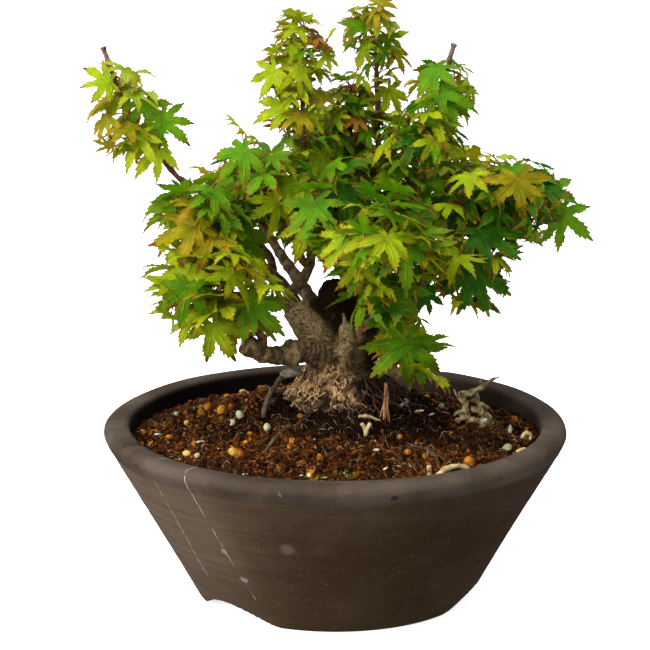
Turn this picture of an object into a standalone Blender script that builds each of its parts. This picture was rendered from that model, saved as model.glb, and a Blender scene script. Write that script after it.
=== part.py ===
"""A shohin bonsai: a small Japanese maple with lobed leaves in a round clay training pot.

Metres, +Z up. The origin is on the ground under the pot's axis, and -Y is the tree's front.
Places on the plant are written in millimetres as (x, y, z) and turned into metres by mm().
"""

import math
import random
from typing import NamedTuple

import bmesh
import bpy
import numpy as np
from mathutils import Vector
from mathutils.bvhtree import BVHTree

MM = 0.001
CLEAR = 0.3 * MM
SIDE_GAP = 0.5 * MM
UP = np.array((0.0, 0.0, 1.0))

# Where limbs meet: the straight run that a limb starts with, and the points of its curve
SIDE_RUN = 1.6 * MM
TIP_RUN = 2 * MM
CURVE_STEPS = 12

# Pot: a turned bowl on three feet
RIM_RADIUS = 100 * MM
RIM_HEIGHT = 76.4 * MM
RIM_CREST_RADIUS = 95.7 * MM
MOUTH_RADIUS = 88.8 * MM
WALL_TOP_RADIUS = 98.5 * MM
WALL_TOP_HEIGHT = 68.4 * MM
FOOT_RADIUS = 59.5 * MM
FOOT_RING_WIDTH = 17 * MM
FOOT_ROUNDING = 1.5 * MM
FOOT_HEIGHT = 6.5 * MM
FLOOR_THICKNESS = 8 * MM
POT_SEGMENTS = 48
FOOT_TURNS = (13.5, 133.5, 253.5)
ARCH_TURN = 60
ARCH_WIDTH = 48 * MM
ARCH_HEIGHT = 8 * MM
ARCH_STEPS = 8
ARCH_SLOPING = 2.4
ARCH_SINK = 0.3 * MM
ARCH_INNER_RADIUS = 36.5 * MM
ARCH_OUTER_RADIUS = 73.5 * MM

# Soil: a mound that is higher at the front than at the back
SOIL_FRONT = 71.5 * MM
SOIL_BACK = 63.8 * MM
SOIL_CROWN = 84.7 * MM
SOIL_CROWN_RADIUS = 27 * MM
SOIL_SEGMENTS = 48
SOIL_RINGS = 7
SOIL_WALL_GAP = 0.7 * MM
CLOD_HEIGHT = 1.6 * MM
CLOD_SEED = 5

# Trunk: heights above the ground with the half widths there, from the root flare to the fork
TRUNK_FOOT = SOIL_CROWN + CLEAR
TRUNK_CENTRE = (2 * MM, -1 * MM)
TRUNK_SECTIONS = (
    (0.0, 24.2, 20.5),
    (3.2, 22.0, 18.8),
    (7.0, 19.4, 16.6),
    (10.5, 17.2, 14.9),
    (14.0, 15.4, 13.6),
    (20.0, 14.2, 12.6),
    (26.0, 13.8, 12.0),
    (31.0, 11.0, 9.5),
    (34.0, 6.0, 5.0),
)
TRUNK_SIDES = 20
ROOT_RIDGES = 5
ROOT_RIDGE_DEPTH = 0.075
ROOT_RIDGE_TURN = 0.7
ROOT_FLARE_HEIGHT = 16

# Leaves: blade, stalk and the ways they may face. Pairs are the least and the most.
BLADE_THICKNESS = 0.66 * MM
FULL_LEAF_FROM = 11.5 * MM
LEAST_TIP_LEAF = 8
LEAF_DROOP = 0.34
STALK_LENGTH = (0.42, 0.6)
STALK_FORWARD = (0.1, 0.6)
STALK_HANG = (-0.5, 0.2)
STALK_RISE = 0.2
ROOT_SINK = 0.55 * MM
MOST_LEAN = 0.78
FACE_UP, FACE_AWAY, FACE_OUT, FACE_WOBBLE = 0.5, 0.8, 0.3, 0.4
CROWN_AXIS_Y = 8 * MM
CROWN_AXIS_SOFTNESS = 12 * MM
LEAF_TRIES = 10
TRY_SHRINK = 0.05
TRY_TURN = 0.5

# Twigs: sizes in shares of the spray's reach or of the leaf at that bud
BUD_TURN = 0.3
STEP_SPREAD = (0.85, 1.15)
SHOOT_LENGTH = (0.42, 0.62)
SHOOT_RADII = (0.75, 0.45)
SHOOT_FORWARD, SHOOT_RISE, SHOOT_CURL = 0.5, 0.15, 0.12
SHOOT_LEAF, SHOOT_TIP_LEAF, TIP_FORWARD = 0.9, 0.85, 0.6
TIP_LEAVES = 3
STEM_END = 1.5 * MM
TIP_LEAF_SETBACK = 0.8 * MM
TWIG_SIDES = 3
STEM_SIDES = 4
LIMB_SPACING = 2.5 * MM
SHOOT_SPACING = 3.5 * MM
BOUGH_SIDES = 6
ARM_SIDES = 9

# Clear space kept between a spray and limbs, the soil, and the next spray's own space
SPRAY_GAP = 0.7 * MM
SEAM = 7 * MM
SOIL_GAP = 3 * MM

BARK = ((0.21, 0.16, 0.12), 0.85)
YOUNG_BARK = ((0.20, 0.10, 0.07), 0.7)
CLAY = ((0.058, 0.045, 0.037), 0.72)
EARTH = ((0.16, 0.065, 0.028), 0.95)
LEAF_GREEN = ((0.20, 0.36, 0.045), 0.5)


def mm(*place):
    """A place or a length written in millimetres, in metres."""
    return np.array(place, float) * MM


# Limbs ------------------------------------------------------------------------------------

# Arms are fused to the trunk: name, places from inside the trunk to the flat end, radii.
ARMS = (
    ("left_arm", ((-1, -1, 104), (-9, -3.5, 115), (-18.2, -5, 127)), (8.6, 5.6)),
    ("low_arm", ((-3, -8, 106), (-12, -14, 110.5), (-19, -18.5, 110)), (6.4, 4.6)),
    ("stump", ((3, 2, 104), (4.3, 5, 120), (5.2, 8, 134.5)), (11.6, 4.5)),
    ("front_arm", ((4, -7, 103), (5, -12.5, 112), (4.6, -16, 121.5)), (4.6, 3.5)),
    ("snag", ((4.7, -15, 119), (3.8, -16.5, 124), (3.0, -17, 127.5)), (1.9, 0.9)),
    ("right_arm", ((6, 1, 101), (15, 3, 108), (24, 5, 114.5)), (8.4, 4.6)),
    ("back_left_arm", ((0, 5, 104), (-6, 13, 115), (-10, 18, 123)), (6.2, 3.9)),
    ("back_right_arm", ((6, 5, 103), (13, 12, 113), (18, 17, 120)), (6.2, 3.9)),
)

# Boughs: name, the limb it grows from, how far along that limb it leaves the side (None for
# its tip), the places it passes and its radii from foot to tip.
BOUGHS = (
    ("left_leader_bough", "left_arm", None,
     ((-18.6, -4.6, 133.5), (-13, -3.5, 140.5), (-10.6, -3, 147), (-10, -2.5, 153)), (2.7, 1.9)),
    ("shoulder_bough", "left_arm", 0.84,
     ((-18, 5, 128), (-25, 7, 137), (-35, 3, 146), (-42, -4, 152)), (2.6, 1.8)),
    ("far_left_bough", "shoulder_bough", 0.5,
     ((-29, 13, 146), (-42, 13, 161), (-56, 5, 174), (-65, -4, 182)), (1.7, 1.1)),
    ("low_left_bough", "low_arm", None,
     ((-27.6, -25, 110.8), (-33, -28.5, 113.5), (-37.5, -30.5, 117.5)), (4.2, 3.6, 3.5, 4.3)),
    ("low_left_twig", "low_left_bough", 0.72,
     ((-32, -27.5, 121), (-34.5, -28, 127)), (1.8, 1.3)),
    ("middle_bough", "stump", None,
     ((1.6, 9.5, 142), (-1, 11, 149), (1, 12, 158)), (2.7, 1.8)),
    ("centre_bough", "middle_bough", 0.6,
     ((-2, 3, 153), (-3, -5, 158), (-3, -11, 163)), (1.4, 1.0)),
    ("inner_left_bough", "left_leader_bough", 0.75,
     ((-15, -7, 152), (-20, -9, 162), (-26, -9, 171)), (1.4, 1.0)),
    ("right_leader_bough", "stump", 0.78,
     ((13, 13, 138), (17, 17, 149), (18, 18, 160)), (2.5, 1.7)),
    ("right_top_bough", "stump", 0.55,
     ((18, 5, 136), (25, 5, 148), (31, 4, 162)), (2.6, 1.6)),
    ("front_bough", "front_arm", 0.75,
     ((11, -19.5, 122), (15, -20.8, 124.5), (19.4, -22, 130), (22, -24, 138)), (2.2, 1.5)),
    ("right_low_bough", "right_arm", None,
     ((28.5, 7, 118), (34, 9, 124), (41, 10, 129.5)), (3.4, 2.1)),
    ("right_bough", "right_low_bough", 0.8,
     ((41, 11, 137), (46, 9, 150), (51, 4, 161)), (1.9, 1.3)),
    ("low_right_bough", "right_arm", 0.9,
     ((25.5, -4, 117), (28, -12, 120), (31, -18, 121)), (1.7, 1.2)),
    ("back_left_bough", "back_left_arm", None,
     ((-16, 25, 132), (-24, 33, 142), (-30, 40, 151)), (3.0, 1.7)),
    ("back_bough", "stump", 0.72,
     ((5, 20, 131), (4, 31, 140), (2, 42, 152)), (2.5, 1.7)),
    ("back_top_bough", "middle_bough", 0.35,
     ((0, 18, 147), (-3, 25, 157), (-4, 29, 168)), (1.6, 1.2)),
    ("back_right_bough", "back_right_arm", None,
     ((25, 25, 130), (32, 33, 140), (38, 40, 150)), (3.0, 1.7)),
)


class Spray(NamedTuple):
    """One mass of foliage: its stem goes on from a bough's tip, and its leaves keep to a reach."""

    name: str
    bough: str
    stem: tuple
    radii: tuple
    reach: tuple
    first_leaf: float
    step: float
    leaf: tuple
    branching: float
    seed: int


SPRAYS = (
    Spray("left_leader", "left_leader_bough",
          ((-11.5, -2, 170), (-13.5, 0, 200), (-14, 0, 228), (-13.7, 0, 246)),
          (1.5, 0.7), (32, 30, 24, 30, 26), 4, 7, (19, 18, 15, 18, 14), 0.08, 3),
    Spray("middle_leader", "middle_bough",
          ((4, 12, 172), (6, 12, 195), (6.5, 12, 219)),
          (1.4, 0.7), (27, 26, 25, 24), 5, 9, (18, 18, 17, 14), 0.05, 5),
    Spray("right_leader", "right_leader_bough",
          ((18.3, 18.5, 180), (18, 19.5, 210), (16.5, 19, 247)),
          (1.4, 0.7), (26, 25, 25, 29, 27), 5, 8, (18, 17, 16, 17, 15), 0.06, 8),
    Spray("right_top", "right_top_bough",
          ((34, 2, 186), (36, 0, 199), (41, -2, 213), (45.5, -1, 225), (49.5, 0, 239)),
          (1.4, 0.8), (30, 32, 33, 31, 10), 4, 8, (20, 20, 21, 19, 6), 0.15, 11),
    Spray("right", "right_bough",
          ((57, -3, 164), (70, -9, 171), (81, -12, 177)),
          (1.3, 0.7), (28, 34, 35, 30), 3, 7, (20, 21, 22, 20), 0.3, 16),
    Spray("right_low", "right_low_bough",
          ((46, 1, 137), (50, -11, 143), (54, -23, 147)),
          (1.5, 0.8), (26, 32, 33, 29), 6, 7, (20, 21, 22, 20), 0.25, 17),
    Spray("low_right", "low_right_bough",
          ((34.5, -25, 120), (37, -31, 117)),
          (1.1, 0.8), (26, 29, 29), 1, 5, (18, 19, 19), 0.1, 19),
    Spray("centre_front", "front_bough",
          ((22, -32, 147), (21, -40, 158), (20, -45, 171)),
          (1.4, 0.8), (28, 32, 33, 28), 4, 7.5, (21, 22, 23, 20), 0.25, 23),
    Spray("centre", "centre_bough",
          ((-3.5, -18, 169), (-4, -22, 181)),
          (0.9, 0.7), (26, 28, 26), 3, 6.5, (18, 19, 18), 0.15, 29),
    Spray("inner_left", "inner_left_bough",
          ((-30, -11, 179), (-35, -12, 187)),
          (0.9, 0.7), (26, 28, 27), 2, 6.5, (18, 19, 19), 0.15, 33),
    Spray("left_shoulder", "shoulder_bough",
          ((-47, -8, 158), (-54, -12, 165), (-61, -14, 171)),
          (1.5, 0.8), (30, 34, 34, 29), 2, 7, (21, 22, 22, 19), 0.3, 31),
    Spray("far_left", "far_left_bough",
          ((-74, -8, 193), (-86, -10, 210), (-92, -10, 226), (-96.6, -10, 239)),
          (1.1, 0.8), (25, 27, 24, 19, 4), 4, 8.5, (18, 18, 17, 14, 6), 0.05, 37),
    Spray("left_low", "low_left_twig",
          ((-37, -30, 134), (-47, -32, 142), (-59, -31, 148)),
          (1.2, 0.8), (28, 32, 32, 28), 3, 7, (20, 21, 20, 19), 0.25, 44),
    Spray("back_left", "back_left_bough",
          ((-37, 45, 160), (-44, 51, 170), (-49, 54, 180)),
          (1.5, 0.8), (30, 33, 32, 28), 3, 8, (21, 22, 21, 19), 0.25, 43),
    Spray("back", "back_bough",
          ((1, 49, 163), (-1, 54, 175), (-2, 56, 186)),
          (1.5, 0.8), (28, 31, 31, 27), 3, 8, (21, 22, 21, 18), 0.25, 47),
    Spray("back_top", "back_top_bough",
          ((-3, 30, 182), (-3, 30, 196)),
          (1.1, 0.8), (25, 26, 22), 4, 7, (18, 18, 16), 0.1, 53),
    Spray("back_right", "back_right_bough",
          ((44, 45, 159), (51, 50, 168), (57, 53, 176)),
          (1.5, 0.8), (30, 32, 32, 28), 3, 8, (21, 22, 21, 19), 0.25, 59),
)


class Limb:
    """A tapering round limb on a smooth curve through its places."""

    def __init__(self, places, radii, spacing=LIMB_SPACING):
        self.points, self.ways = smooth_path(np.array(places, float), spacing)
        self.along = path_lengths(self.points)
        self.length = self.along[-1]
        knots = np.linspace(0, self.length, len(radii))
        self.radii = np.interp(self.along, knots, radii)

    def at(self, distance):
        """The place on the axis, the direction and the radius at this distance from the foot."""
        place = along_axis(distance, self.along, self.points)
        way = unit(along_axis(distance, self.along, self.ways))
        return place, way, float(np.interp(distance, self.along, self.radii))

    def rings(self):
        """Places, directions and radii of every other point, and of the tip."""
        keep = np.unique([*range(0, len(self.points), 2), len(self.points) - 1])
        return self.points[keep], self.ways[keep], self.radii[keep]

    def clearance(self, places):
        """How far each place is outside this limb's surface."""
        start, end = self.points[:-1], self.points[1:]
        step = end - start
        offset = places[:, None] - start[None]
        share = np.clip((offset * step).sum(-1) / (step**2).sum(-1), 0, 1)
        gap = np.linalg.norm(offset - share[..., None] * step, axis=-1)
        radius = self.radii[:-1] + share * np.diff(self.radii)
        return (gap - radius).min(axis=1)


def unit(vector):
    return vector / np.linalg.norm(vector)


def path_lengths(points):
    return np.concatenate([[0.0], np.cumsum(np.linalg.norm(np.diff(points, axis=0), axis=1))])


def along_axis(distance, along, values):
    return np.stack([np.interp(distance, along, column) for column in values.T], axis=-1)


def smooth_path(places, spacing):
    """Evenly spaced points on the Catmull-Rom curve through the places, and its directions."""
    padded = np.vstack([2 * places[0] - places[1], places, 2 * places[-1] - places[-2]])
    share = np.linspace(0, 1, CURVE_STEPS, endpoint=False)[:, None]
    curve = []
    for a, b, c, d in zip(padded, padded[1:], padded[2:], padded[3:]):
        curve.append(0.5 * (2 * b + (c - a) * share + (2 * a - 5 * b + 4 * c - d) * share**2
                            + (3 * b - a - 3 * c + d) * share**3))
    curve = np.vstack([*curve, places[-1:]])
    ways = np.gradient(curve, axis=0)
    ways /= np.linalg.norm(ways, axis=1)[:, None]
    along = path_lengths(curve)
    stations = np.linspace(0, along[-1], max(3, round(along[-1] / spacing) + 1))
    return along_axis(stations, along, curve), along_axis(stations, along, ways)


def side_start(parent, share, towards):
    """Where a limb leaves its parent's side: square to the tapering surface, just clear of it."""
    place, along, radius = parent.at(share * parent.length)
    taper = (radius - parent.at(share * parent.length + MM)[2]) / MM
    out = towards - place
    out = unit(out - out.dot(along) * along)
    square = unit(out + along * taper)
    foot = place + out * radius + square * SIDE_GAP
    return foot, foot + square * SIDE_RUN


def tip_start(parent):
    """Where a limb goes on from its parent's flat tip, just clear of it."""
    place, along, _ = parent.at(parent.length)
    foot = place + along * CLEAR
    return foot, foot + along * TIP_RUN


def plan_limbs():
    """Every arm and bough as a Limb, by name."""
    limbs = {name: Limb(mm(*places), mm(*radii)) for name, places, radii in ARMS}
    for name, parent, share, places, radii in BOUGHS:
        places = mm(*places)
        parent = limbs[parent]
        start = tip_start(parent) if share is None else side_start(parent, share, places[0])
        limbs[name] = Limb([*start, *places], mm(*radii))
    return limbs


# Meshes -----------------------------------------------------------------------------------


def new_object(name, points, faces):
    mesh = bpy.data.meshes.new(name)
    mesh.from_pydata([tuple(p) for p in points], [], faces)
    obj = bpy.data.objects.new(name, mesh)
    bpy.context.scene.collection.objects.link(obj)
    return obj


def ring_frames(ways):
    """Two directions square to the path at each point, carried along it without twisting."""
    ways = ways / np.linalg.norm(ways, axis=1)[:, None]
    seed = np.array((1.0, 0.0, 0.0)) if abs(ways[0][0]) < 0.8 else np.array((0.0, 1.0, 0.0))
    first = []
    for way in ways:
        seed = unit(seed - seed.dot(way) * way)
        first.append(seed)
    first = np.array(first)
    return first, np.cross(ways, first)


def tube_mesh(limb, sides, spare=0.0):
    """A closed tube round a limb's path, with flat ends."""
    points, ways, radii = limb.rings()
    radii = radii + spare
    first, second = ring_frames(ways)
    turns = np.arange(sides) * 2 * math.pi / sides
    rings = (points[:, None]
             + np.cos(turns)[None, :, None] * first[:, None] * radii[:, None, None]
             + np.sin(turns)[None, :, None] * second[:, None] * radii[:, None, None])
    return ring_mesh(rings)


def ring_mesh(rings):
    """A closed solid from a stack of rings, wound anticlockwise as seen from the last."""
    count, sides, _ = rings.shape
    faces = []
    for low in range(0, (count - 1) * sides, sides):
        for j in range(sides):
            k = (j + 1) % sides
            faces.append((low + j, low + k, low + sides + k, low + sides + j))
    faces.append(tuple(reversed(range(sides))))
    faces.append(tuple((count - 1) * sides + j for j in range(sides)))
    return rings.reshape(-1, 3), faces


def largest_shell(mesh):
    """Keeps the outermost closed shell: sealed hollows are filled and loose scraps dropped.

    It says whether that shell is closed, with each edge between two faces.
    """
    work = bmesh.new()
    work.from_mesh(mesh)
    bmesh.ops.triangulate(work, faces=work.faces)
    left = set(work.faces)
    shells = []
    while left:
        front = [left.pop()]
        shell = set(front)
        while front:
            for edge in front.pop().edges:
                found = left.intersection(edge.link_faces)
                left -= found
                shell |= found
                front += found
        shells.append(shell)
    volumes = [sum(f.verts[0].co.dot(f.verts[1].co.cross(f.verts[2].co)) for f in shell)
               for shell in shells]
    keep = shells[int(np.argmax(volumes))]
    bmesh.ops.delete(work, geom=[f for f in work.faces if f not in keep], context="FACES")
    closed = all(len(edge.link_faces) == 2 for edge in work.edges)
    work.to_mesh(mesh)
    work.free()
    return closed


def fuse(name, pieces):
    """One Boolean union of the pieces, as a single object with the given name."""
    base = pieces[0]
    group = bpy.data.collections.new(name + "_pieces")
    bpy.context.scene.collection.children.link(group)
    for piece in pieces[1:]:
        bpy.context.scene.collection.objects.unlink(piece)
        group.objects.link(piece)
    union = base.modifiers.new("Union", "BOOLEAN")
    union.operation = "UNION"
    union.operand_type = "COLLECTION"
    union.collection = group
    for solver in ("EXACT", "MANIFOLD"):
        union.solver = solver
        graph = bpy.context.evaluated_depsgraph_get()
        mesh = bpy.data.meshes.new_from_object(base.evaluated_get(graph))
        if largest_shell(mesh):
            break
    for piece in list(group.objects):
        bpy.data.objects.remove(piece)
    bpy.data.collections.remove(group)
    bpy.data.objects.remove(base)
    fused = bpy.data.objects.new(name, mesh)
    bpy.context.scene.collection.objects.link(fused)
    return fused


def finish(obj, colour, roughness, smooth_angle=35):
    material = bpy.data.materials.new(obj.name)
    material.use_nodes = True
    shader = material.node_tree.nodes["Principled BSDF"]
    shader.inputs["Base Color"].default_value = (*colour, 1)
    shader.inputs["Roughness"].default_value = roughness
    shader.inputs["Metallic"].default_value = 0.0
    obj.data.materials.clear()
    obj.data.materials.append(material)
    obj.data.shade_smooth()
    obj.data.set_sharp_from_angle(angle=math.radians(smooth_angle))
    return obj


# Pot and soil -----------------------------------------------------------------------------


def wall_slope():
    return (WALL_TOP_RADIUS - FOOT_RADIUS) / WALL_TOP_HEIGHT


def inner_radius(height):
    """Radius of the pot's inside at this height: the inner wall runs parallel to the outer."""
    top = WALL_TOP_HEIGHT
    return MOUTH_RADIUS - wall_slope() * (top - np.minimum(height, top))


def spin(name, profile, segments):
    """A turned solid: the profile runs from the axis at the bottom, outwards, to the axis."""
    turns = np.arange(segments) * 2 * math.pi / segments
    circle = np.stack([np.cos(turns), np.sin(turns)], axis=1)
    points = [(0, 0, profile[0][1])]
    for radius, height in profile[1:-1]:
        points += [(x * radius, y * radius, height) for x, y in circle]
    points.append((0, 0, profile[-1][1]))
    last, top = len(points) - 1, len(points) - 1 - segments
    faces = [(0, 1 + (j + 1) % segments, 1 + j) for j in range(segments)]
    for i in range(len(profile) - 3):
        low = 1 + i * segments
        for j in range(segments):
            k = (j + 1) % segments
            faces.append((low + j, low + k, low + segments + k, low + segments + j))
    faces += [(top + j, top + (j + 1) % segments, last) for j in range(segments)]
    return new_object(name, points, faces)


def pot_profile():
    ring_inside = FOOT_RADIUS - FOOT_RING_WIDTH
    slope = wall_slope()
    floor = FOOT_HEIGHT + FLOOR_THICKNESS
    return (
        (0, FOOT_HEIGHT),
        (ring_inside - 2 * MM, FOOT_HEIGHT),
        (ring_inside, 0),
        (FOOT_RADIUS - FOOT_ROUNDING, 0),
        (FOOT_RADIUS + slope * FOOT_ROUNDING, FOOT_ROUNDING),
        (FOOT_RADIUS + slope * 12 * MM, 12 * MM),
        (WALL_TOP_RADIUS, WALL_TOP_HEIGHT),
        (RIM_RADIUS, RIM_HEIGHT - 3.6 * MM),
        (RIM_RADIUS - 1.2 * MM, RIM_HEIGHT - 1.2 * MM),
        (RIM_CREST_RADIUS, RIM_HEIGHT),
        (MOUTH_RADIUS + 1.6 * MM, RIM_HEIGHT - 0.6 * MM),
        (MOUTH_RADIUS, RIM_HEIGHT - 2.4 * MM),
        (MOUTH_RADIUS, WALL_TOP_HEIGHT),
        (inner_radius(floor), floor),
        (0, floor),
    )


def arch_cutter(turn):
    """A bell-shaped arch, laid square to the wall, that parts two feet; it starts underground."""
    outline = [(-ARCH_WIDTH / 2, -2 * MM)]
    for i in range(ARCH_STEPS + 1):
        angle = math.pi * (1 - i / ARCH_STEPS)
        rise = abs(math.sin(angle)) ** ARCH_SLOPING * (ARCH_HEIGHT + ARCH_SINK)
        outline.append((math.cos(angle) * ARCH_WIDTH / 2, rise - ARCH_SINK))
    outline.append((ARCH_WIDTH / 2, -2 * MM))
    way = np.array((math.sin(turn), -math.cos(turn), 0.0))
    side = np.array((math.cos(turn), math.sin(turn), 0.0))
    ends = [np.array([way * reach + side * x + UP * z for x, z in outline])
            for reach in (ARCH_INNER_RADIUS, ARCH_OUTER_RADIUS)]
    cutter = new_object("arch", *ring_mesh(np.array(ends)[:, ::-1]))
    cutter.hide_render = True
    cutter.display_type = "WIRE"
    return cutter


def make_pot():
    pot = spin("pot", pot_profile(), POT_SEGMENTS)
    cutters = [arch_cutter(math.radians(turn + ARCH_TURN)) for turn in FOOT_TURNS]
    for cutter in cutters:
        cut = pot.modifiers.new("Arch", "BOOLEAN")
        cut.operation = "DIFFERENCE"
        cut.solver = "EXACT"
        cut.object = cutter
    graph = bpy.context.evaluated_depsgraph_get()
    mesh = bpy.data.meshes.new_from_object(pot.evaluated_get(graph))
    for spent in [pot, *cutters]:
        bpy.data.objects.remove(spent)
    largest_shell(mesh)
    pot = bpy.data.objects.new("pot", mesh)
    bpy.context.scene.collection.objects.link(pot)
    finish(pot, *CLAY)


def clods():
    """Seeded heights on the soil's rings and segments, level at the trunk, in shares."""
    heights = np.random.default_rng(CLOD_SEED).uniform(-1, 1, (SOIL_RINGS + 1, SOIL_SEGMENTS))
    heights[-1] = 0
    return heights


def clod_at(share, turn):
    """The clods' height between their lattice: share from edge to crown, turn in radians."""
    ring = np.clip(share, 0, 1) * SOIL_RINGS
    segment = turn / (2 * math.pi) * SOIL_SEGMENTS
    i, j = np.floor(ring).astype(int), np.floor(segment).astype(int)
    inward, onward = ring - i, segment - j
    heights = clods()
    total = 0.0
    for di, dj in ((0, 0), (0, 1), (1, 0), (1, 1)):
        weight = (inward if di else 1 - inward) * (onward if dj else 1 - onward)
        total = total + weight * heights[np.minimum(i + di, SOIL_RINGS), (j + dj) % SOIL_SEGMENTS]
    return CLOD_HEIGHT * total


def soil_height(x, y):
    """The soil's top: clods on a slope from front to back that rises to a level crown."""
    radius = np.hypot(x, y)
    edge = SOIL_BACK + (SOIL_FRONT - SOIL_BACK) * (0.5 - y / (2 * MOUTH_RADIUS)) ** 0.6
    share = np.clip((MOUTH_RADIUS - radius) / (MOUTH_RADIUS - SOIL_CROWN_RADIUS), 0, 1)
    rise = share**1.25 * (1.25 - 0.25 * share)
    height = edge + (SOIL_CROWN - edge) * rise + clod_at(share, np.arctan2(y, x))
    return np.minimum(height, SOIL_CROWN)


def make_soil():
    turns = np.arange(SOIL_SEGMENTS) * 2 * math.pi / SOIL_SEGMENTS
    circle = np.stack([np.cos(turns), np.sin(turns)], axis=1)
    floor = FOOT_HEIGHT + FLOOR_THICKNESS + CLEAR
    widest = MOUTH_RADIUS - SOIL_WALL_GAP
    edge_height = soil_height(*(circle * widest).T)
    edge = inner_radius(edge_height) - SOIL_WALL_GAP
    rings = [ring_at(circle, inner_radius(floor) - SOIL_WALL_GAP, floor),
             ring_at(circle, edge, edge_height)]
    for i in range(1, SOIL_RINGS):
        radius = edge + (SOIL_CROWN_RADIUS - edge) * i / SOIL_RINGS
        heights = soil_height(*(circle * radius[:, None]).T)
        rings.append(ring_at(circle, radius, heights))
    rings.append(ring_at(circle, SOIL_CROWN_RADIUS, SOIL_CROWN))
    finish(new_object("soil", *ring_mesh(np.array(rings))), *EARTH)


def ring_at(circle, radius, height):
    """Points round the pot's axis at a radius and a height that may vary round it."""
    count = len(circle)
    radius = np.broadcast_to(radius, count)
    height = np.broadcast_to(height, count)
    return np.column_stack([circle * radius[:, None], height])


# Trunk and boughs -------------------------------------------------------------------------


def trunk_column():
    """The trunk itself: oval rings, with ridges towards the roots at the foot."""
    turns = np.arange(TRUNK_SIDES) * 2 * math.pi / TRUNK_SIDES
    rings = []
    for height, wide, deep in TRUNK_SECTIONS:
        flare = max(0.0, 1 - height / ROOT_FLARE_HEIGHT)
        wave = np.sin(ROOT_RIDGES * turns + ROOT_RIDGE_TURN)
        ridge = 1 + ROOT_RIDGE_DEPTH * flare * wave
        x = TRUNK_CENTRE[0] + np.cos(turns) * ridge * wide * MM
        y = TRUNK_CENTRE[1] + np.sin(turns) * ridge * deep * MM
        rings.append(np.stack([x, y, np.full(TRUNK_SIDES, TRUNK_FOOT + height * MM)], axis=1))
    return new_object("column", *ring_mesh(np.array(rings)))


def make_trunk(limbs):
    arms = [new_object(name, *tube_mesh(limbs[name], ARM_SIDES)) for name, *_ in ARMS]
    finish(fuse("trunk", [trunk_column(), *arms]), *BARK)


def make_boughs(limbs):
    for name, *_ in BOUGHS:
        finish(new_object(name, *tube_mesh(limbs[name], BOUGH_SIDES)), *YOUNG_BARK)


# Foliage ----------------------------------------------------------------------------------

# A leaf's outline as (turn from the middle lobe in degrees, reach in leaf lengths), one side.
FULL_LEAF = ((21, 0.40), (43, 0.93), (66, 0.34), (90, 0.62), (152, 0.12))
SMALL_LEAF = ((24, 0.38), (50, 0.85), (150, 0.14))


class Leaf(NamedTuple):
    """A leaf: where its stalk is rooted, where its lobes meet, its blade's normal, its size."""

    root: np.ndarray
    centre: np.ndarray
    normal: np.ndarray
    size: float


def leaf_outline(leaf):
    """The blade's edge as points round its centre, drooping outwards, with the stalk's root."""
    half = FULL_LEAF if leaf.size > FULL_LEAF_FROM else SMALL_LEAF
    stalk = leaf.centre - leaf.root
    ahead = unit(stalk - stalk.dot(leaf.normal) * leaf.normal)
    side = np.cross(leaf.normal, ahead)
    edge = [(0, 1.0), *half]
    edge += [None, *((-turn, reach) for turn, reach in reversed(half))]
    points = []
    for corner in edge:
        if corner is None:
            points.append(leaf.root - unit(stalk) * ROOT_SINK)
            continue
        turn, reach = math.radians(corner[0]), corner[1] * leaf.size
        drop = LEAF_DROOP * corner[1] ** 2 * leaf.size
        points.append(leaf.centre + ahead * math.cos(turn) * reach
                      + side * math.sin(turn) * reach - leaf.normal * drop)
    return np.array(points)


def leaf_mesh(leaf, stalk=1.0):
    """A closed blade: its edge joined to one point above its centre and one below.

    The stalk's share is how much of the stalk is there, measured from the blade.
    """
    outline = leaf_outline(leaf)
    root = root_index(outline, leaf)
    outline[root] = leaf.centre + (outline[root] - leaf.centre) * stalk
    lift = leaf.normal * BLADE_THICKNESS / 2
    points = np.vstack([outline, leaf.centre + lift, leaf.centre - lift])
    count = len(outline)
    faces = []
    for i in range(count):
        j = (i + 1) % count
        faces += [(i, j, count), (j, i, count + 1)]
    return points, faces


def root_index(outline, leaf):
    return int(np.argmin(np.linalg.norm(outline - leaf.root, axis=1)))


def leaf_probes(leaf):
    """Points on the blade and the outer stalk that must keep clear of everything else."""
    outline = leaf_outline(leaf)
    outline = np.delete(outline, root_index(outline, leaf), 0)
    inner = leaf.centre + (outline - leaf.centre) * 0.6
    stalk = leaf.root + (leaf.centre - leaf.root) * 0.7
    return np.vstack([outline, inner, stalk, leaf.centre])


def across(along, turn):
    """A direction square to `along`, turned about it."""
    flat = np.array((along[1], -along[0], 0.0))
    flat = unit(flat) if np.linalg.norm(flat) > 0.05 else np.array((1.0, 0.0, 0.0))
    return flat * math.cos(turn) + np.cross(along, flat) * math.sin(turn)


def place_leaf(rng, root, out, along, size):
    """A leaf on a stalk that leaves its twig outwards, its blade facing up and outwards."""
    stalk = out + along * rng.uniform(*STALK_FORWARD) + UP * rng.uniform(*STALK_HANG)
    stalk[2] = min(stalk[2], STALK_RISE)
    stalk = unit(stalk)
    centre = root + stalk * size * rng.uniform(*STALK_LENGTH)
    away = np.array((centre[0], centre[1] - CROWN_AXIS_Y, 0.0))
    away = away / (np.linalg.norm(away) + CROWN_AXIS_SOFTNESS)
    wobble = np.array([rng.uniform(-FACE_WOBBLE, FACE_WOBBLE) for _ in range(3)])
    normal = unit(UP * FACE_UP + away * FACE_AWAY + out * FACE_OUT + wobble)
    return Leaf(root, centre, tilted_off(normal, stalk), size)


def tilted_off(normal, stalk):
    """The normal, turned as far from the stalk as lets the stalk run out behind the blade."""
    lean = normal.dot(stalk)
    across_stalk = normal - lean * stalk
    lean = np.clip(lean, -MOST_LEAN, MOST_LEAN)
    return lean * stalk + math.sqrt(1 - lean**2) * unit(across_stalk)


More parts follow.
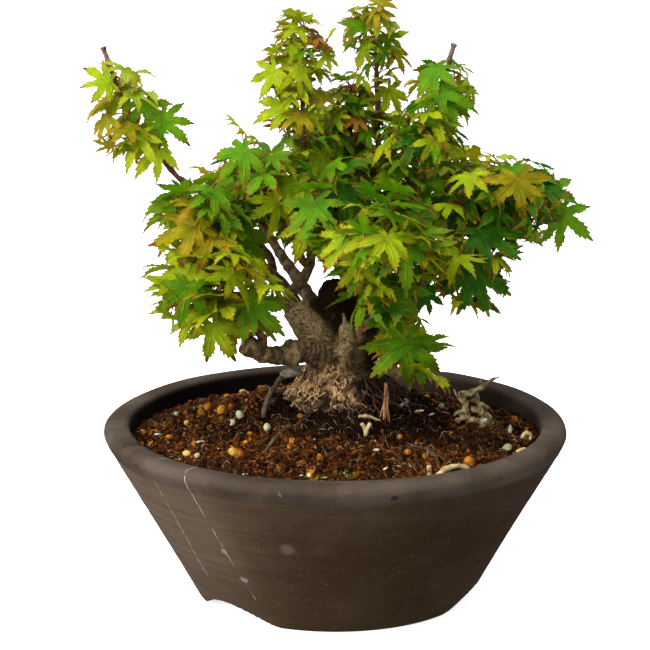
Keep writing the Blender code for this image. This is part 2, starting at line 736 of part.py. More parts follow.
class Crown:
    """All the limbs and leaves made so far, which every new twig and leaf keeps clear of."""

    def __init__(self, limbs):
        self.limbs = dict(limbs)
        self.stems = {}
        self.trees = {"limbs": joined_tree([tube_mesh(limb, BOUGH_SIDES, CLEAR)
                                            for limb in limbs.values()])}

    def add_stem(self, spray):
        start = tip_start(self.limbs[spray.bough])
        stem = Limb([*start, *mm(*spray.stem)], mm(*spray.radii))
        self.stems[spray.name] = stem
        self.trees[spray.name] = joined_tree([tube_mesh(stem, STEM_SIDES, CLEAR)])

    def room_for(self, spray, probes, spare=SPRAY_GAP):
        """True where the probes lie inside the spray's space and clear of limb and soil."""
        x, y, z = probes.T
        if (z < soil_height(x, y) + SOIL_GAP).any() or (z < RIM_HEIGHT + SOIL_GAP).any():
            return False
        if any((limb.clearance(probes) < spare).any() for limb in self.limbs.values()):
            return False
        own = self.stems[spray.name]
        reach = np.interp(self.share_along(own, probes),
                          np.linspace(0, 1, len(spray.reach)), mm(*spray.reach))
        distance = own.clearance(probes)
        if (distance > reach).any():
            return False
        for name, stem in self.stems.items():
            if name == spray.name:
                continue
            other = stem.clearance(probes)
            if (other < spare).any() or (distance - other > SEAM).any():
                return False
        return True

    @staticmethod
    def share_along(stem, probes):
        gaps = np.linalg.norm(probes[:, None] - stem.points[None], axis=-1)
        return stem.along[gaps.argmin(axis=1)] / stem.length

    def touches(self, name, tree):
        """True where a mesh of the named spray would meet a bough or another spray."""
        return any(tree.overlap(other) for key, other in self.trees.items() if key != name)


class Growth:
    """The shoots and leaves of one spray.

    Pairs of buds stand across the shoot every `step`, each pair turned square to the one
    before. A bud gives a leaf or, by the spray's branching, a side shoot with leaves of its own.
    """

    def __init__(self, spray, crown):
        self.spray, self.crown = spray, crown
        self.rng = random.Random(spray.seed)
        self.stem = crown.stems[spray.name]
        self.shoots, self.leaves, self.blades = [self.stem], [], []
        self.grow_stem()

    def along_stem(self, values, share):
        return float(np.interp(share, np.linspace(0, 1, len(values)), mm(*values)))

    def grow_stem(self):
        rng, spray, stem = self.rng, self.spray, self.stem
        turn = rng.uniform(0, math.pi)
        distance = spray.first_leaf * MM
        while distance < stem.length - STEM_END:
            share = distance / stem.length
            size = self.along_stem(spray.leaf, share)
            reach = self.along_stem(spray.reach, share)
            for side in (0, math.pi):
                self.bud(distance, turn + side, size, reach)
            turn += math.pi / 2 + rng.uniform(-BUD_TURN, BUD_TURN)
            distance += spray.step * MM * rng.uniform(*STEP_SPREAD)
        if spray.leaf[-1] > LEAST_TIP_LEAF:
            self.tip_leaves(stem, spray.leaf[-1] * MM)

    def bud(self, distance, turn, size, reach):
        """A side shoot where the spray branches and there is room for it, or else a leaf."""
        if self.rng.random() < self.spray.branching:
            shoot = self.side_shoot(distance, turn, reach)
            if shoot is not None:
                self.shoots.append(shoot)
                for side in (0, math.pi):
                    self.leaf(shoot, shoot.length / 2, turn + side, size * SHOOT_LEAF)
                self.tip_leaves(shoot, size * SHOOT_TIP_LEAF)
                return
        self.leaf(self.stem, distance, turn, size)

    def side_shoot(self, distance, turn, reach):
        """A curved twig from the stem, or None where it would leave its space or touch a limb."""
        place, along, _ = self.stem.at(distance)
        length = reach * self.rng.uniform(*SHOOT_LENGTH)
        way = unit(across(along, turn) + along * SHOOT_FORWARD + UP * SHOOT_RISE) * length
        places = [place, place + way / 2, place + way + UP * length * SHOOT_CURL]
        shoot = Limb(places, mm(*SHOOT_RADII), spacing=SHOOT_SPACING)
        tree = joined_tree([tube_mesh(shoot, STEM_SIDES, CLEAR)])
        roomy = self.crown.room_for(self.spray, shoot.points[2:], SPRAY_GAP + shoot.radii[0])
        return shoot if roomy and not self.crown.touches(self.spray.name, tree) else None

    def tip_leaves(self, shoot, size):
        """Leaves spread round a shoot's tip."""
        turn = self.rng.uniform(0, math.pi)
        distance = shoot.length - TIP_LEAF_SETBACK
        for i in range(TIP_LEAVES):
            self.leaf(shoot, distance, turn + i * 2 * math.pi / TIP_LEAVES, size, TIP_FORWARD)

    def leaf(self, shoot, distance, turn, size, forward=0.0):
        """Adds a leaf in the first of a few trial poses that has room and touches no other."""
        place, along, _ = shoot.at(distance)
        for trial in range(LEAF_TRIES):
            tried = turn + self.rng.uniform(-TRY_TURN, TRY_TURN)
            out = unit(across(along, tried) + along * forward)
            leaf = place_leaf(self.rng, place, out, along, size * (1 - TRY_SHRINK * trial))
            if not self.crown.room_for(self.spray, leaf_probes(leaf)):
                continue
            blade = joined_tree([leaf_mesh(leaf, stalk=0.3)])
            if any(blade.overlap(other) for other in self.blades):
                continue
            whole = joined_tree([leaf_mesh(leaf._replace(size=leaf.size * 1.04))])
            if not self.crown.touches(self.spray.name, whole):
                self.leaves.append(leaf)
                self.blades.append(blade)
                return


def joined_tree(meshes):
    points, faces = [], []
    for piece_points, piece_faces in meshes:
        base = len(points)
        points += [Vector(p) for p in piece_points]
        faces += [tuple(base + i for i in face) for face in piece_faces]
    return BVHTree.FromPolygons(points, faces)


def make_spray(spray, crown):
    growth = Growth(spray, crown)
    shoots, leaves = growth.shoots, growth.leaves
    pieces = []
    for i, shoot in enumerate(shoots):
        sides = STEM_SIDES if i == 0 else TWIG_SIDES
        pieces.append(new_object(f"shoot_{i}", *tube_mesh(shoot, sides)))
    meshes = [leaf_mesh(leaf) for leaf in leaves]
    for i, mesh in enumerate(meshes):
        pieces.append(new_object(f"leaf_{i}", *mesh))
    shoot_meshes = [tube_mesh(shoot, STEM_SIDES, CLEAR) for shoot in shoots]
    crown.trees[spray.name] = joined_tree(meshes + shoot_meshes)
    finish(fuse(spray.name, pieces), *LEAF_GREEN, smooth_angle=20)


def main():
    for obj in list(bpy.data.objects):
        bpy.data.objects.remove(obj)
    make_pot()
    make_soil()
    limbs = plan_limbs()
    make_trunk(limbs)
    make_boughs(limbs)
    crown = Crown(limbs)
    for spray in SPRAYS:
        crown.add_stem(spray)
    for spray in SPRAYS:
        make_spray(spray, crown)


main()
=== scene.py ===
"""A shohin bonsai: a small maple with lobed leaves in a round clay training pot.

Metres, +Z up. The origin is on the ground under the pot's axis, and -Y is the tree's front.
Places on the plant are written in millimetres as (x, y, z) and turned into metres by mm().
"""

import itertools
import math
import random
from typing import NamedTuple

import bpy
import numpy as np
from mathutils import Matrix, Vector
from mathutils.bvhtree import BVHTree


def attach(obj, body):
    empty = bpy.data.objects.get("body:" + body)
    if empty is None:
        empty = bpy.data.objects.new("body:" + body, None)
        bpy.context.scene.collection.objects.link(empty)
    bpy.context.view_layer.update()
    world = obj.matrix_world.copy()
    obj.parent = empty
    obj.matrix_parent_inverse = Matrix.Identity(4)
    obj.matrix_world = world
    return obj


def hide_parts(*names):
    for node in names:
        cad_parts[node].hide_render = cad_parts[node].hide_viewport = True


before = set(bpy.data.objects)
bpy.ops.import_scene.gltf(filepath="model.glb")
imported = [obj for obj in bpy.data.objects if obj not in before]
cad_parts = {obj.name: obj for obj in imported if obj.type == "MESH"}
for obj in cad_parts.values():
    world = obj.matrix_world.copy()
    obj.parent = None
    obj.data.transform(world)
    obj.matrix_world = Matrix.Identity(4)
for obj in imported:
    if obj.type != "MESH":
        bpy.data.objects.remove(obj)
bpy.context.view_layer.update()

MM = 0.001
UP = np.array((0.0, 0.0, 1.0))
FRONT = np.array((0.0, -1.0, 0.0))

# Limbs: the gap that a limb leaves to the tip or the side it grows on from, how far it then
# runs straight, and how finely its curve is worked out.
CLEAR = 0.3 * MM
SIDE_GAP = 0.5 * MM
SIDE_RUN = 1.6 * MM
TIP_RUN = 2 * MM
CURVE_STEPS = 12
LIMB_SPACING = 2.5 * MM

# Pot
RIM_HEIGHT = 76.4 * MM
RIM_CREST_RADIUS = 95.7 * MM
LIP_ROUNDING = (4.25 * MM, 3.9 * MM)
MOUTH_RADIUS = 88.8 * MM
MOUTH_ROUNDING = 2.2 * MM
WALL_TOP_RADIUS = 98.5 * MM
WALL_TOP_HEIGHT = 68.4 * MM
FOOT_RADIUS = 59.5 * MM
FOOT_RING_WIDTH = 17 * MM
FOOT_HEIGHT = 6.5 * MM
FLOOR_THICKNESS = 8 * MM
FOOT_TURNS = (13.5, 133.5, 253.5)
ARCH_WIDTH = 48 * MM
ARCH_HEIGHT = 8 * MM
ARCH_SLOPING = 1.2
WALL_SLOPE = (WALL_TOP_RADIUS - FOOT_RADIUS) / WALL_TOP_HEIGHT

# Soil
SOIL_FRONT = 71.5 * MM
SOIL_BACK = 63.8 * MM
SOIL_CROWN = 84.7 * MM
SOIL_CROWN_RADIUS = 27 * MM
SOIL_WALL_GAP = 0.7 * MM
SOIL_SEGMENTS = 48
SOIL_RINGS = 7
CLOD_HEIGHT = 1.6 * MM
CLOD_SEED = 5

# Trunk: its sections are height above the foot and half width and half depth in mm.
TRUNK_FOOT = SOIL_CROWN + CLEAR
TRUNK_CENTRE = (2 * MM, -1 * MM)
TRUNK_SECTIONS = (
    (-6.0, 27.0, 23.0),
    (0.0, 24.2, 20.5),
    (3.2, 22.0, 18.8),
    (7.0, 19.4, 16.6),
    (10.5, 17.2, 14.9),
    (14.0, 15.4, 13.6),
    (20.0, 14.2, 12.6),
    (26.0, 13.8, 12.0),
    (31.0, 11.0, 9.5),
    (34.0, 6.0, 5.0),
)

# Arms are fused to the trunk: name, places from inside the trunk to the flat end, radii.
ARMS = (
    ("left_arm", ((-1, -1, 104), (-9, -3.5, 115), (-18.2, -5, 127)), (8.6, 5.6)),
    ("low_arm", ((-3, -8, 106), (-12, -14, 110.5), (-19, -18.5, 110)), (6.4, 4.6)),
    ("stump", ((3, 2, 104), (4.3, 5, 120), (5.2, 8, 134.5)), (11.6, 4.5)),
    ("front_arm", ((4, -7, 103), (5, -12.5, 112), (4.6, -16, 121.5)), (4.6, 3.5)),
    ("snag", ((4.7, -15, 119), (3.8, -16.5, 124), (3.0, -17, 127.5)), (1.9, 0.9)),
    ("right_arm", ((6, 1, 101), (15, 3, 108), (24, 5, 114.5)), (8.4, 4.6)),
    ("back_left_arm", ((0, 5, 104), (-6, 13, 115), (-10, 18, 123)), (6.2, 3.9)),
    ("back_right_arm", ((6, 5, 103), (13, 12, 113), (18, 17, 120)), (6.2, 3.9)),
)

# Boughs: name, the limb it grows from, how far along that limb it leaves the side (None for
# its tip), the places it passes and its radii from foot to tip.
BOUGHS = (
    ("left_leader_bough", "left_arm", None,
     ((-18.6, -4.6, 133.5), (-13, -3.5, 140.5), (-10.6, -3, 147), (-10, -2.5, 153)), (2.7, 1.9)),
    ("shoulder_bough", "left_arm", 0.84,
     ((-18, 5, 128), (-25, 7, 137), (-35, 3, 146), (-42, -4, 152)), (2.6, 1.8)),
    ("far_left_bough", "shoulder_bough", 0.5,
     ((-29, 13, 146), (-42, 13, 161), (-56, 5, 174), (-65, -4, 182)), (1.7, 1.1)),
    ("low_left_bough", "low_arm", None,
     ((-27.6, -25, 110.8), (-33, -28.5, 113.5), (-37.5, -30.5, 117.5)), (4.2, 3.6, 3.5, 4.3)),
    ("low_left_twig", "low_left_bough", 0.72,
     ((-32, -27.5, 121), (-34.5, -28, 127)), (1.8, 1.3)),
    ("middle_bough", "stump", None,
     ((1.6, 9.5, 142), (-1, 11, 149), (1, 12, 158)), (2.7, 1.8)),
    ("centre_bough", "middle_bough", 0.6,
     ((-2, 3, 153), (-3, -5, 158), (-3, -11, 163)), (1.4, 1.0)),
    ("inner_left_bough", "left_leader_bough", 0.75,
     ((-15, -7, 152), (-20, -9, 162), (-26, -9, 171)), (1.4, 1.0)),
    ("right_leader_bough", "stump", 0.78,
     ((13, 13, 138), (17, 17, 149), (18, 18, 160)), (2.5, 1.7)),
    ("right_top_bough", "stump", 0.55,
     ((18, 5, 136), (25, 5, 148), (31, 4, 162)), (2.6, 1.6)),
    ("front_bough", "front_arm", 0.75,
     ((11, -19.5, 122), (15, -20.8, 124.5), (19.4, -22, 130), (22, -24, 138)), (2.2, 1.5)),
    ("right_low_bough", "right_arm", None,
     ((28.5, 7, 118), (34, 9, 124), (41, 10, 129.5)), (3.4, 2.1)),
    ("right_bough", "right_low_bough", 0.8,
     ((41, 11, 137), (46, 9, 150), (51, 4, 161)), (1.9, 1.3)),
    ("low_right_bough", "right_arm", 0.9,
     ((25.5, -4, 117), (28, -12, 120), (31, -18, 121)), (1.7, 1.2)),
    ("back_left_bough", "back_left_arm", None,
     ((-16, 25, 132), (-24, 33, 142), (-30, 40, 151)), (3.0, 1.7)),
    ("back_bough", "stump", 0.72,
     ((5, 20, 131), (4, 31, 140), (2, 42, 152)), (2.5, 1.7)),
    ("back_top_bough", "middle_bough", 0.35,
     ((0, 18, 147), (-3, 25, 157), (-4, 29, 168)), (1.6, 1.2)),
    ("back_right_bough", "back_right_arm", None,
     ((25, 25, 130), (32, 33, 140), (38, 40, 150)), (3.0, 1.7)),
)


class Spray(NamedTuple):
    """One mass of foliage: its stem goes on from a bough's tip, and its leaves keep to a reach."""

    name: str
    bough: str
    stem: tuple
    radii: tuple
    reach: tuple
    first_leaf: float
    step: float
    leaf: tuple
    branching: float
    seed: int


SPRAYS = (
    Spray("left_leader", "left_leader_bough",
          ((-11.5, -2, 170), (-13.5, 0, 200), (-14, 0, 228), (-13.7, 0, 246)),
          (1.5, 0.7), (32, 27, 18, 17, 16), 4, 4.5, (19.8, 17.6, 14.3, 14.3, 13.2), 0.2, 3),
    Spray("middle_leader", "middle_bough",
          ((4, 12, 172), (6, 12, 195), (6.5, 12, 219)),
          (1.4, 0.7), (25, 22, 15, 13), 5, 4.5, (18.7, 17.6, 14.4, 12.2), 0.3, 5),
    Spray("right_leader", "right_leader_bough",
          ((18.3, 18.5, 180), (18, 19.5, 210), (16.5, 19, 247)),
          (1.4, 0.7), (26, 23, 17, 16, 15), 5, 4.5, (18.7, 16.5, 14.3, 13.2, 13.2), 0.2, 8),
    Spray("right_top", "right_top_bough",
          ((34, 2, 186), (36, 0, 199), (41, -2, 213), (45.5, -1, 225), (49.5, 0, 239)),
          (1.4, 0.8), (25, 26, 23, 19, 8), 4, 4.9, (19.8, 19.8, 18.7, 16.4, 9), 0.3, 11),
    Spray("right", "right_bough",
          ((57, -3, 164), (70, -9, 171), (81, -12, 177)),
          (1.3, 0.7), (27, 31, 30, 20), 3, 4.5, (19.8, 20.9, 20.9, 17.7), 0.45, 16),
    Spray("right_low", "right_low_bough",
          ((46, 1, 137), (50, -11, 143), (54, -23, 147)),
          (1.5, 0.8), (26, 31, 32, 27), 6, 4.8, (19.8, 20.9, 22, 19.8), 0.4, 17),
    Spray("low_right", "low_right_bough",
          ((34.5, -25, 120), (37, -31, 117)),
          (1.1, 0.8), (26, 29, 29), 1, 3.1, (18.7, 20.9, 20.9), 0.25, 19),
    Spray("centre_front", "front_bough",
          ((22, -32, 147), (21, -40, 158), (20, -45, 171)),
          (1.4, 0.8), (26, 31, 32, 28), 4, 4.8, (19.8, 20.9, 22, 19.8), 0.4, 23),
    Spray("centre", "centre_bough",
          ((-3.5, -18, 169), (-4, -22, 181)),
          (0.9, 0.7), (25, 27, 25), 3, 4.6, (18.7, 19.8, 18.7), 0.35, 29),
    Spray("inner_left", "inner_left_bough",
          ((-30, -11, 179), (-35, -12, 187)),
          (0.9, 0.7), (24, 25, 22), 2, 4.6, (18.7, 19.8, 18.7), 0.35, 33),
    Spray("left_shoulder", "shoulder_bough",
          ((-47, -8, 158), (-54, -12, 165), (-61, -14, 171)),
          (1.5, 0.8), (28, 32, 32, 27), 2, 4.5, (19.8, 20.9, 20.9, 18.7), 0.45, 31),
    Spray("far_left", "far_left_bough",
          ((-74, -8, 193), (-86, -10, 210), (-92, -10, 226), (-96.6, -10, 239)),
          (1.1, 0.8), (20, 22, 20, 18, 8), 20, 4.2, (17, 17, 17, 15, 10), 0.1, 37),
    Spray("left_low", "low_left_twig",
          ((-37, -30, 134), (-47, -32, 142), (-59, -31, 148)),
          (1.2, 0.8), (28, 32, 32, 28), 3, 4.4, (19.8, 20.9, 20.9, 18.7), 0.45, 44),
    Spray("back_left", "back_left_bough",
          ((-37, 45, 160), (-44, 51, 170), (-49, 54, 180)),
          (1.5, 0.8), (30, 33, 32, 28), 3, 4.7, (20.9, 22, 20.9, 18.7), 0.4, 43),
    Spray("back", "back_bough",
          ((1, 49, 163), (-1, 54, 175), (-2, 56, 186)),
          (1.5, 0.8), (28, 31, 31, 27), 3, 4.7, (20.9, 22, 20.9, 17.6), 0.4, 47),
    Spray("back_top", "back_top_bough",
          ((-3, 30, 182), (-3, 30, 196)),
          (1.1, 0.8), (25, 26, 22), 4, 4.5, (18.7, 18.7, 16.5), 0.3, 53),
    Spray("back_right", "back_right_bough",
          ((44, 45, 159), (51, 50, 168), (57, 53, 176)),
          (1.5, 0.8), (30, 32, 32, 28), 3, 4.7, (20.9, 22, 20.9, 18.7), 0.4, 59),
)


def mm(*place):
    """A place or a length written in millimetres, in metres."""
    return np.array(place, float) * MM


def unit(vector):
    """The vector, or each row of an array of vectors, at length one."""
    return vector / np.maximum(np.linalg.norm(vector, axis=-1, keepdims=True), 1e-12)


def crossed(a, b):
    """The cross product of two single vectors."""
    return np.array((a[1] * b[2] - a[2] * b[1], a[2] * b[0] - a[0] * b[2],
                     a[0] * b[1] - a[1] * b[0]))


# Pieces -----------------------------------------------------------------------------------


def piece(name, points, faces, look, slot, *, uv=None, fields=None, smooth=True, stands_for=()):
    """A mesh object from a (n, 3) array of points and arrays of faces of one size each."""
    faces = [np.asarray(f, np.int32) for f in (faces if isinstance(faces, list) else [faces])]
    sizes = np.concatenate([np.full(len(f), f.shape[1], np.int32) for f in faces])
    corners = np.concatenate([f.ravel() for f in faces])
    mesh = bpy.data.meshes.new(name)
    mesh.vertices.add(len(points))
    mesh.vertices.foreach_set("co", np.asarray(points, np.float32).ravel())
    mesh.loops.add(len(corners))
    mesh.loops.foreach_set("vertex_index", corners)
    mesh.polygons.add(len(sizes))
    mesh.polygons.foreach_set("loop_start", np.concatenate([[0], np.cumsum(sizes)[:-1]]))
    mesh.polygons.foreach_set("use_smooth", np.full(len(sizes), smooth))
    mesh.update(calc_edges=True)
    if uv is not None:
        layer = mesh.uv_layers.new(name="Surface")
        layer.data.foreach_set("uv", np.asarray(uv, np.float32)[corners].ravel())
    for field, values in (fields or {}).items():
        layer = mesh.attributes.new(field, "FLOAT", "POINT")
        layer.data.foreach_set("value", np.asarray(values, np.float32))
    mesh.materials.append(look)
    obj = bpy.data.objects.new(name, mesh)
    bpy.context.scene.collection.objects.link(obj)
    if stands_for:
        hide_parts(*stands_for)
    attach(obj, "root")
    return obj


def grid_faces(rows, sides):
    """Quads between neighbouring rings of a grid of points."""
    row = np.arange(rows - 1)[:, None] * sides
    ring = np.arange(sides)
    after = (ring + 1) % sides
    return np.stack([row + ring, row + after, row + sides + after, row + sides + ring],
                    axis=-1).reshape(-1, 4)


def end_caps(rows, sides):
    """Triangles that close a grid's first ring on the point after the grid's own points, and
    its last ring on the point after that."""
    ring = np.arange(sides)
    after = (ring + 1) % sides
    last, tip = (rows - 1) * sides, rows * sides
    return np.vstack([np.stack([np.full(sides, tip), after, ring], axis=1),
                      np.stack([np.full(sides, tip + 1), last + ring, last + after], axis=1)])


def tubes(paths, radii, sides):
    """Tubes round many paths at once, from paths (n, k, 3) and radii (n, k).

    Each ring is a circle square to its path. Both ends close on a point on the axis.
    """
    count, stations, _ = paths.shape
    ways = unit(np.gradient(paths, axis=1))
    first = unit(np.cross(ways, np.array((0.31, 0.17, 0.93))))
    second = np.cross(ways, first)
    turns = np.arange(sides) * 2 * math.pi / sides
    rings = (paths[:, :, None]
             + np.cos(turns)[:, None] * (first * radii[..., None])[:, :, None]
             + np.sin(turns)[:, None] * (second * radii[..., None])[:, :, None])
    each = stations * sides + 2
    points = np.concatenate([rings.reshape(count, -1, 3), paths[:, :1], paths[:, -1:]], axis=1)
    start = (np.arange(count) * each)[:, None, None]
    walls = (grid_faces(stations, sides)[None] + start).reshape(-1, 4)
    caps = (end_caps(stations, sides)[None] + start).reshape(-1, 3)
    return points.reshape(-1, 3), [walls, caps]


def join(meshes):
    """One array of points and one list of face arrays from several such pairs."""
    points, faces, base = [], [], 0
    for some_points, some_faces in meshes:
        points.append(some_points)
        faces += [f + base for f in some_faces]
        base += len(some_points)
    by_size = {}
    for f in faces:
        by_size.setdefault(f.shape[1], []).append(f)
    return np.vstack(points), [np.vstack(group) for group in by_size.values()]


class Noise:
    """A smooth random field: random values on a wrapping lattice, eased between its points."""

    def __init__(self, seed, size=32):
        self.size = size
        self.values = np.random.default_rng(seed).uniform(-1, 1, (size,) * 3)

    def at(self, points, pitch):
        """The field at each point, with features about `pitch` across."""
        place = points / pitch
        cell = np.floor(place).astype(int)
        share = place - cell
        share = share * share * (3 - 2 * share)
        total = np.zeros(place.shape[:-1])
        for corner in itertools.product((0, 1), repeat=3):
            x, y, z = np.moveaxis((cell + corner) % self.size, -1, 0)
            weight = np.where(corner, share, 1 - share).prod(axis=-1)
            total += weight * self.values[x, y, z]
        return total

    def rough(self, points, pitch, octaves=4, gain=0.55):
        """Layers of the field, each half as wide and `gain` times as strong as the last."""
        return sum(gain**i * self.at(points + 7.3 * i * pitch, pitch / 2**i)
                   for i in range(octaves))


# Looks ------------------------------------------------------------------------------------


class Look:
    """A material being made: a Principled shader and short ways to add nodes before it."""

    def __init__(self, name, roughness, specular=0.5):
        self.material = bpy.data.materials.new(name)
        self.material.use_nodes = True
        tree = self.material.node_tree
        self.nodes, self.links = tree.nodes, tree.links
        self.shader = self.nodes["Principled BSDF"]
        self.shader.inputs["Roughness"].default_value = roughness
        self.shader.inputs["Specular IOR Level"].default_value = specular
        self.place = self.nodes.new("ShaderNodeTexCoord").outputs["Object"]

    def link(self, value, socket):
        """Joins a socket to another, or sets it to a plain value."""
        if isinstance(value, bpy.types.NodeSocket):
            self.links.new(value, socket)
        else:
            socket.default_value = value

    def add(self, kind, settings=(), **inputs):
        """A new node. Each input, its name's spaces written _, takes a value or a socket."""
        node = self.nodes.new("ShaderNode" + kind)
        for name, value in dict(settings).items():
            setattr(node, name, value)
        for name, value in inputs.items():
            self.link(value, node.inputs[name.replace("_", " ")])
        return node

    def stretched(self, scale):
        """Object coordinates scaled by a factor along each axis."""
        return self.add("Mapping", Vector=self.place, Scale=scale).outputs["Vector"]

    def noise(self, per_metre, detail=3.0, rough=0.5, vector=None):
        """A smooth noise of 0 to 1 with this many features to the metre."""
        return self.add("TexNoise", Vector=vector or self.place, Scale=per_metre,
                        Detail=detail, Roughness=rough).outputs["Fac"]

    def cells(self, per_metre):
        """The distance from the nearest of this many scattered points to the metre."""
        return self.add("TexVoronoi", Vector=self.place, Scale=per_metre).outputs["Distance"]

    def field(self, name):
        """One of the piece's own fields."""
        return self.add("Attribute", {"attribute_name": name}).outputs["Fac"]

    def band(self, value, low, high):
        """0 where the value is under low, 1 over high, eased between (or the other way)."""
        return self.add("MapRange", {"interpolation_type": "SMOOTHSTEP"}, Value=value,
                        From_Min=low, From_Max=high).outputs["Result"]

    def maths(self, operation, first, second=0.5):
        """One step of arithmetic on sockets or numbers."""
        node = self.add("Math", {"operation": operation})
        self.link(first, node.inputs[0])
        self.link(second, node.inputs[1])
        return node.outputs["Value"]

    def times(self, first, *others):
        for other in others:
            first = self.maths("MULTIPLY", first, other)
        return first

    def plus(self, first, second):
        return self.maths("ADD", first, second)

    def minus(self, first, second):
        return self.maths("SUBTRACT", first, second)

    def about_zero(self, value, spread):
        """A noise of 0 to 1 as one about zero, this far from end to end."""
        return self.times(self.minus(value, 0.5), spread)

    def vector_maths(self, operation, first, second=None):
        node = self.add("VectorMath", {"operation": operation})
        self.link(first, node.inputs[0])
        if second is not None:
            self.link(tuple(second), node.inputs[1])
        return node.outputs["Value"]

    def mix(self, share, first, second):
        """A colour between two, each a colour socket or a linear (r, g, b)."""
        node = self.add("Mix", {"data_type": "RGBA"}, Factor=share)
        for value, socket in ((first, node.inputs["A"]), (second, node.inputs["B"])):
            self.link((*value, 1) if isinstance(value, tuple) else value, socket)
        return node.outputs["Result"]

    def axis(self, letter, vector=None):
        return self.add("SeparateXYZ", Vector=vector or self.place).outputs[letter]

    def colour(self, value):
        self.link((*value, 1) if isinstance(value, tuple) else value,
                  self.shader.inputs["Base Color"])

    def bump(self, height, depth):
        """Relief in the shading: height 0 to 1 stands for this depth in metres."""
        node = self.add("Bump", Strength=1.0, Distance=depth, Height=height)
        self.links.new(node.outputs["Normal"], self.shader.inputs["Normal"])

    def glow_through(self, colour, share):
        """Lets some light through a thin leaf: a share of Translucent mixed with the shader."""
        through = self.add("BsdfTranslucent", Color=(*colour, 1))
        mixed = self.add("MixShader", Fac=share)
        self.links.new(self.shader.outputs["BSDF"], mixed.inputs[1])
        self.links.new(through.outputs["BSDF"], mixed.inputs[2])
        self.links.new(mixed.outputs["Shader"], self.nodes["Material Output"].inputs["Surface"])


# Scratches in the clay: their ends on the wall and their half width, in mm.
SCRATCHES = (
    ((-75.5, -63.2, 70.0), (-53.7, -46.5, 20.2), 0.19),
    ((-60.4, -77.8, 71.4), (-33.3, -58.2, 13.2), 0.24),
)
# Marks on the clay: place and radius in mm, colour, strength.
MARKS = (
    ((-46.1, -66.7, 37.9), 1.5, (0.30, 0.27, 0.23), 0.55),
    ((-38.5, -62.5, 24.3), 2.0, (0.30, 0.27, 0.23), 0.65),
    ((-19.9, -82.1, 43.9), 3.6, (0.16, 0.13, 0.105), 0.45),
    ((-29.0, -76.0, 34.0), 2.0, (0.14, 0.11, 0.085), 0.40),
    ((-4.1, -74.3, 26.2), 0.5, (0.42, 0.30, 0.03), 0.90),
    ((-22.5, -95.9, 72.3), 1.6, (0.34, 0.31, 0.27), 0.85),
    ((-81.8, -54.9, 71.3), 1.3, (0.010, 0.007, 0.005), 0.85),
    ((23.0, -96.0, 70.5), 1.4, (0.010, 0.007, 0.005), 0.80),
    ((38.0, -86.0, 58.0), 1.1, (0.20, 0.17, 0.14), 0.50),
)


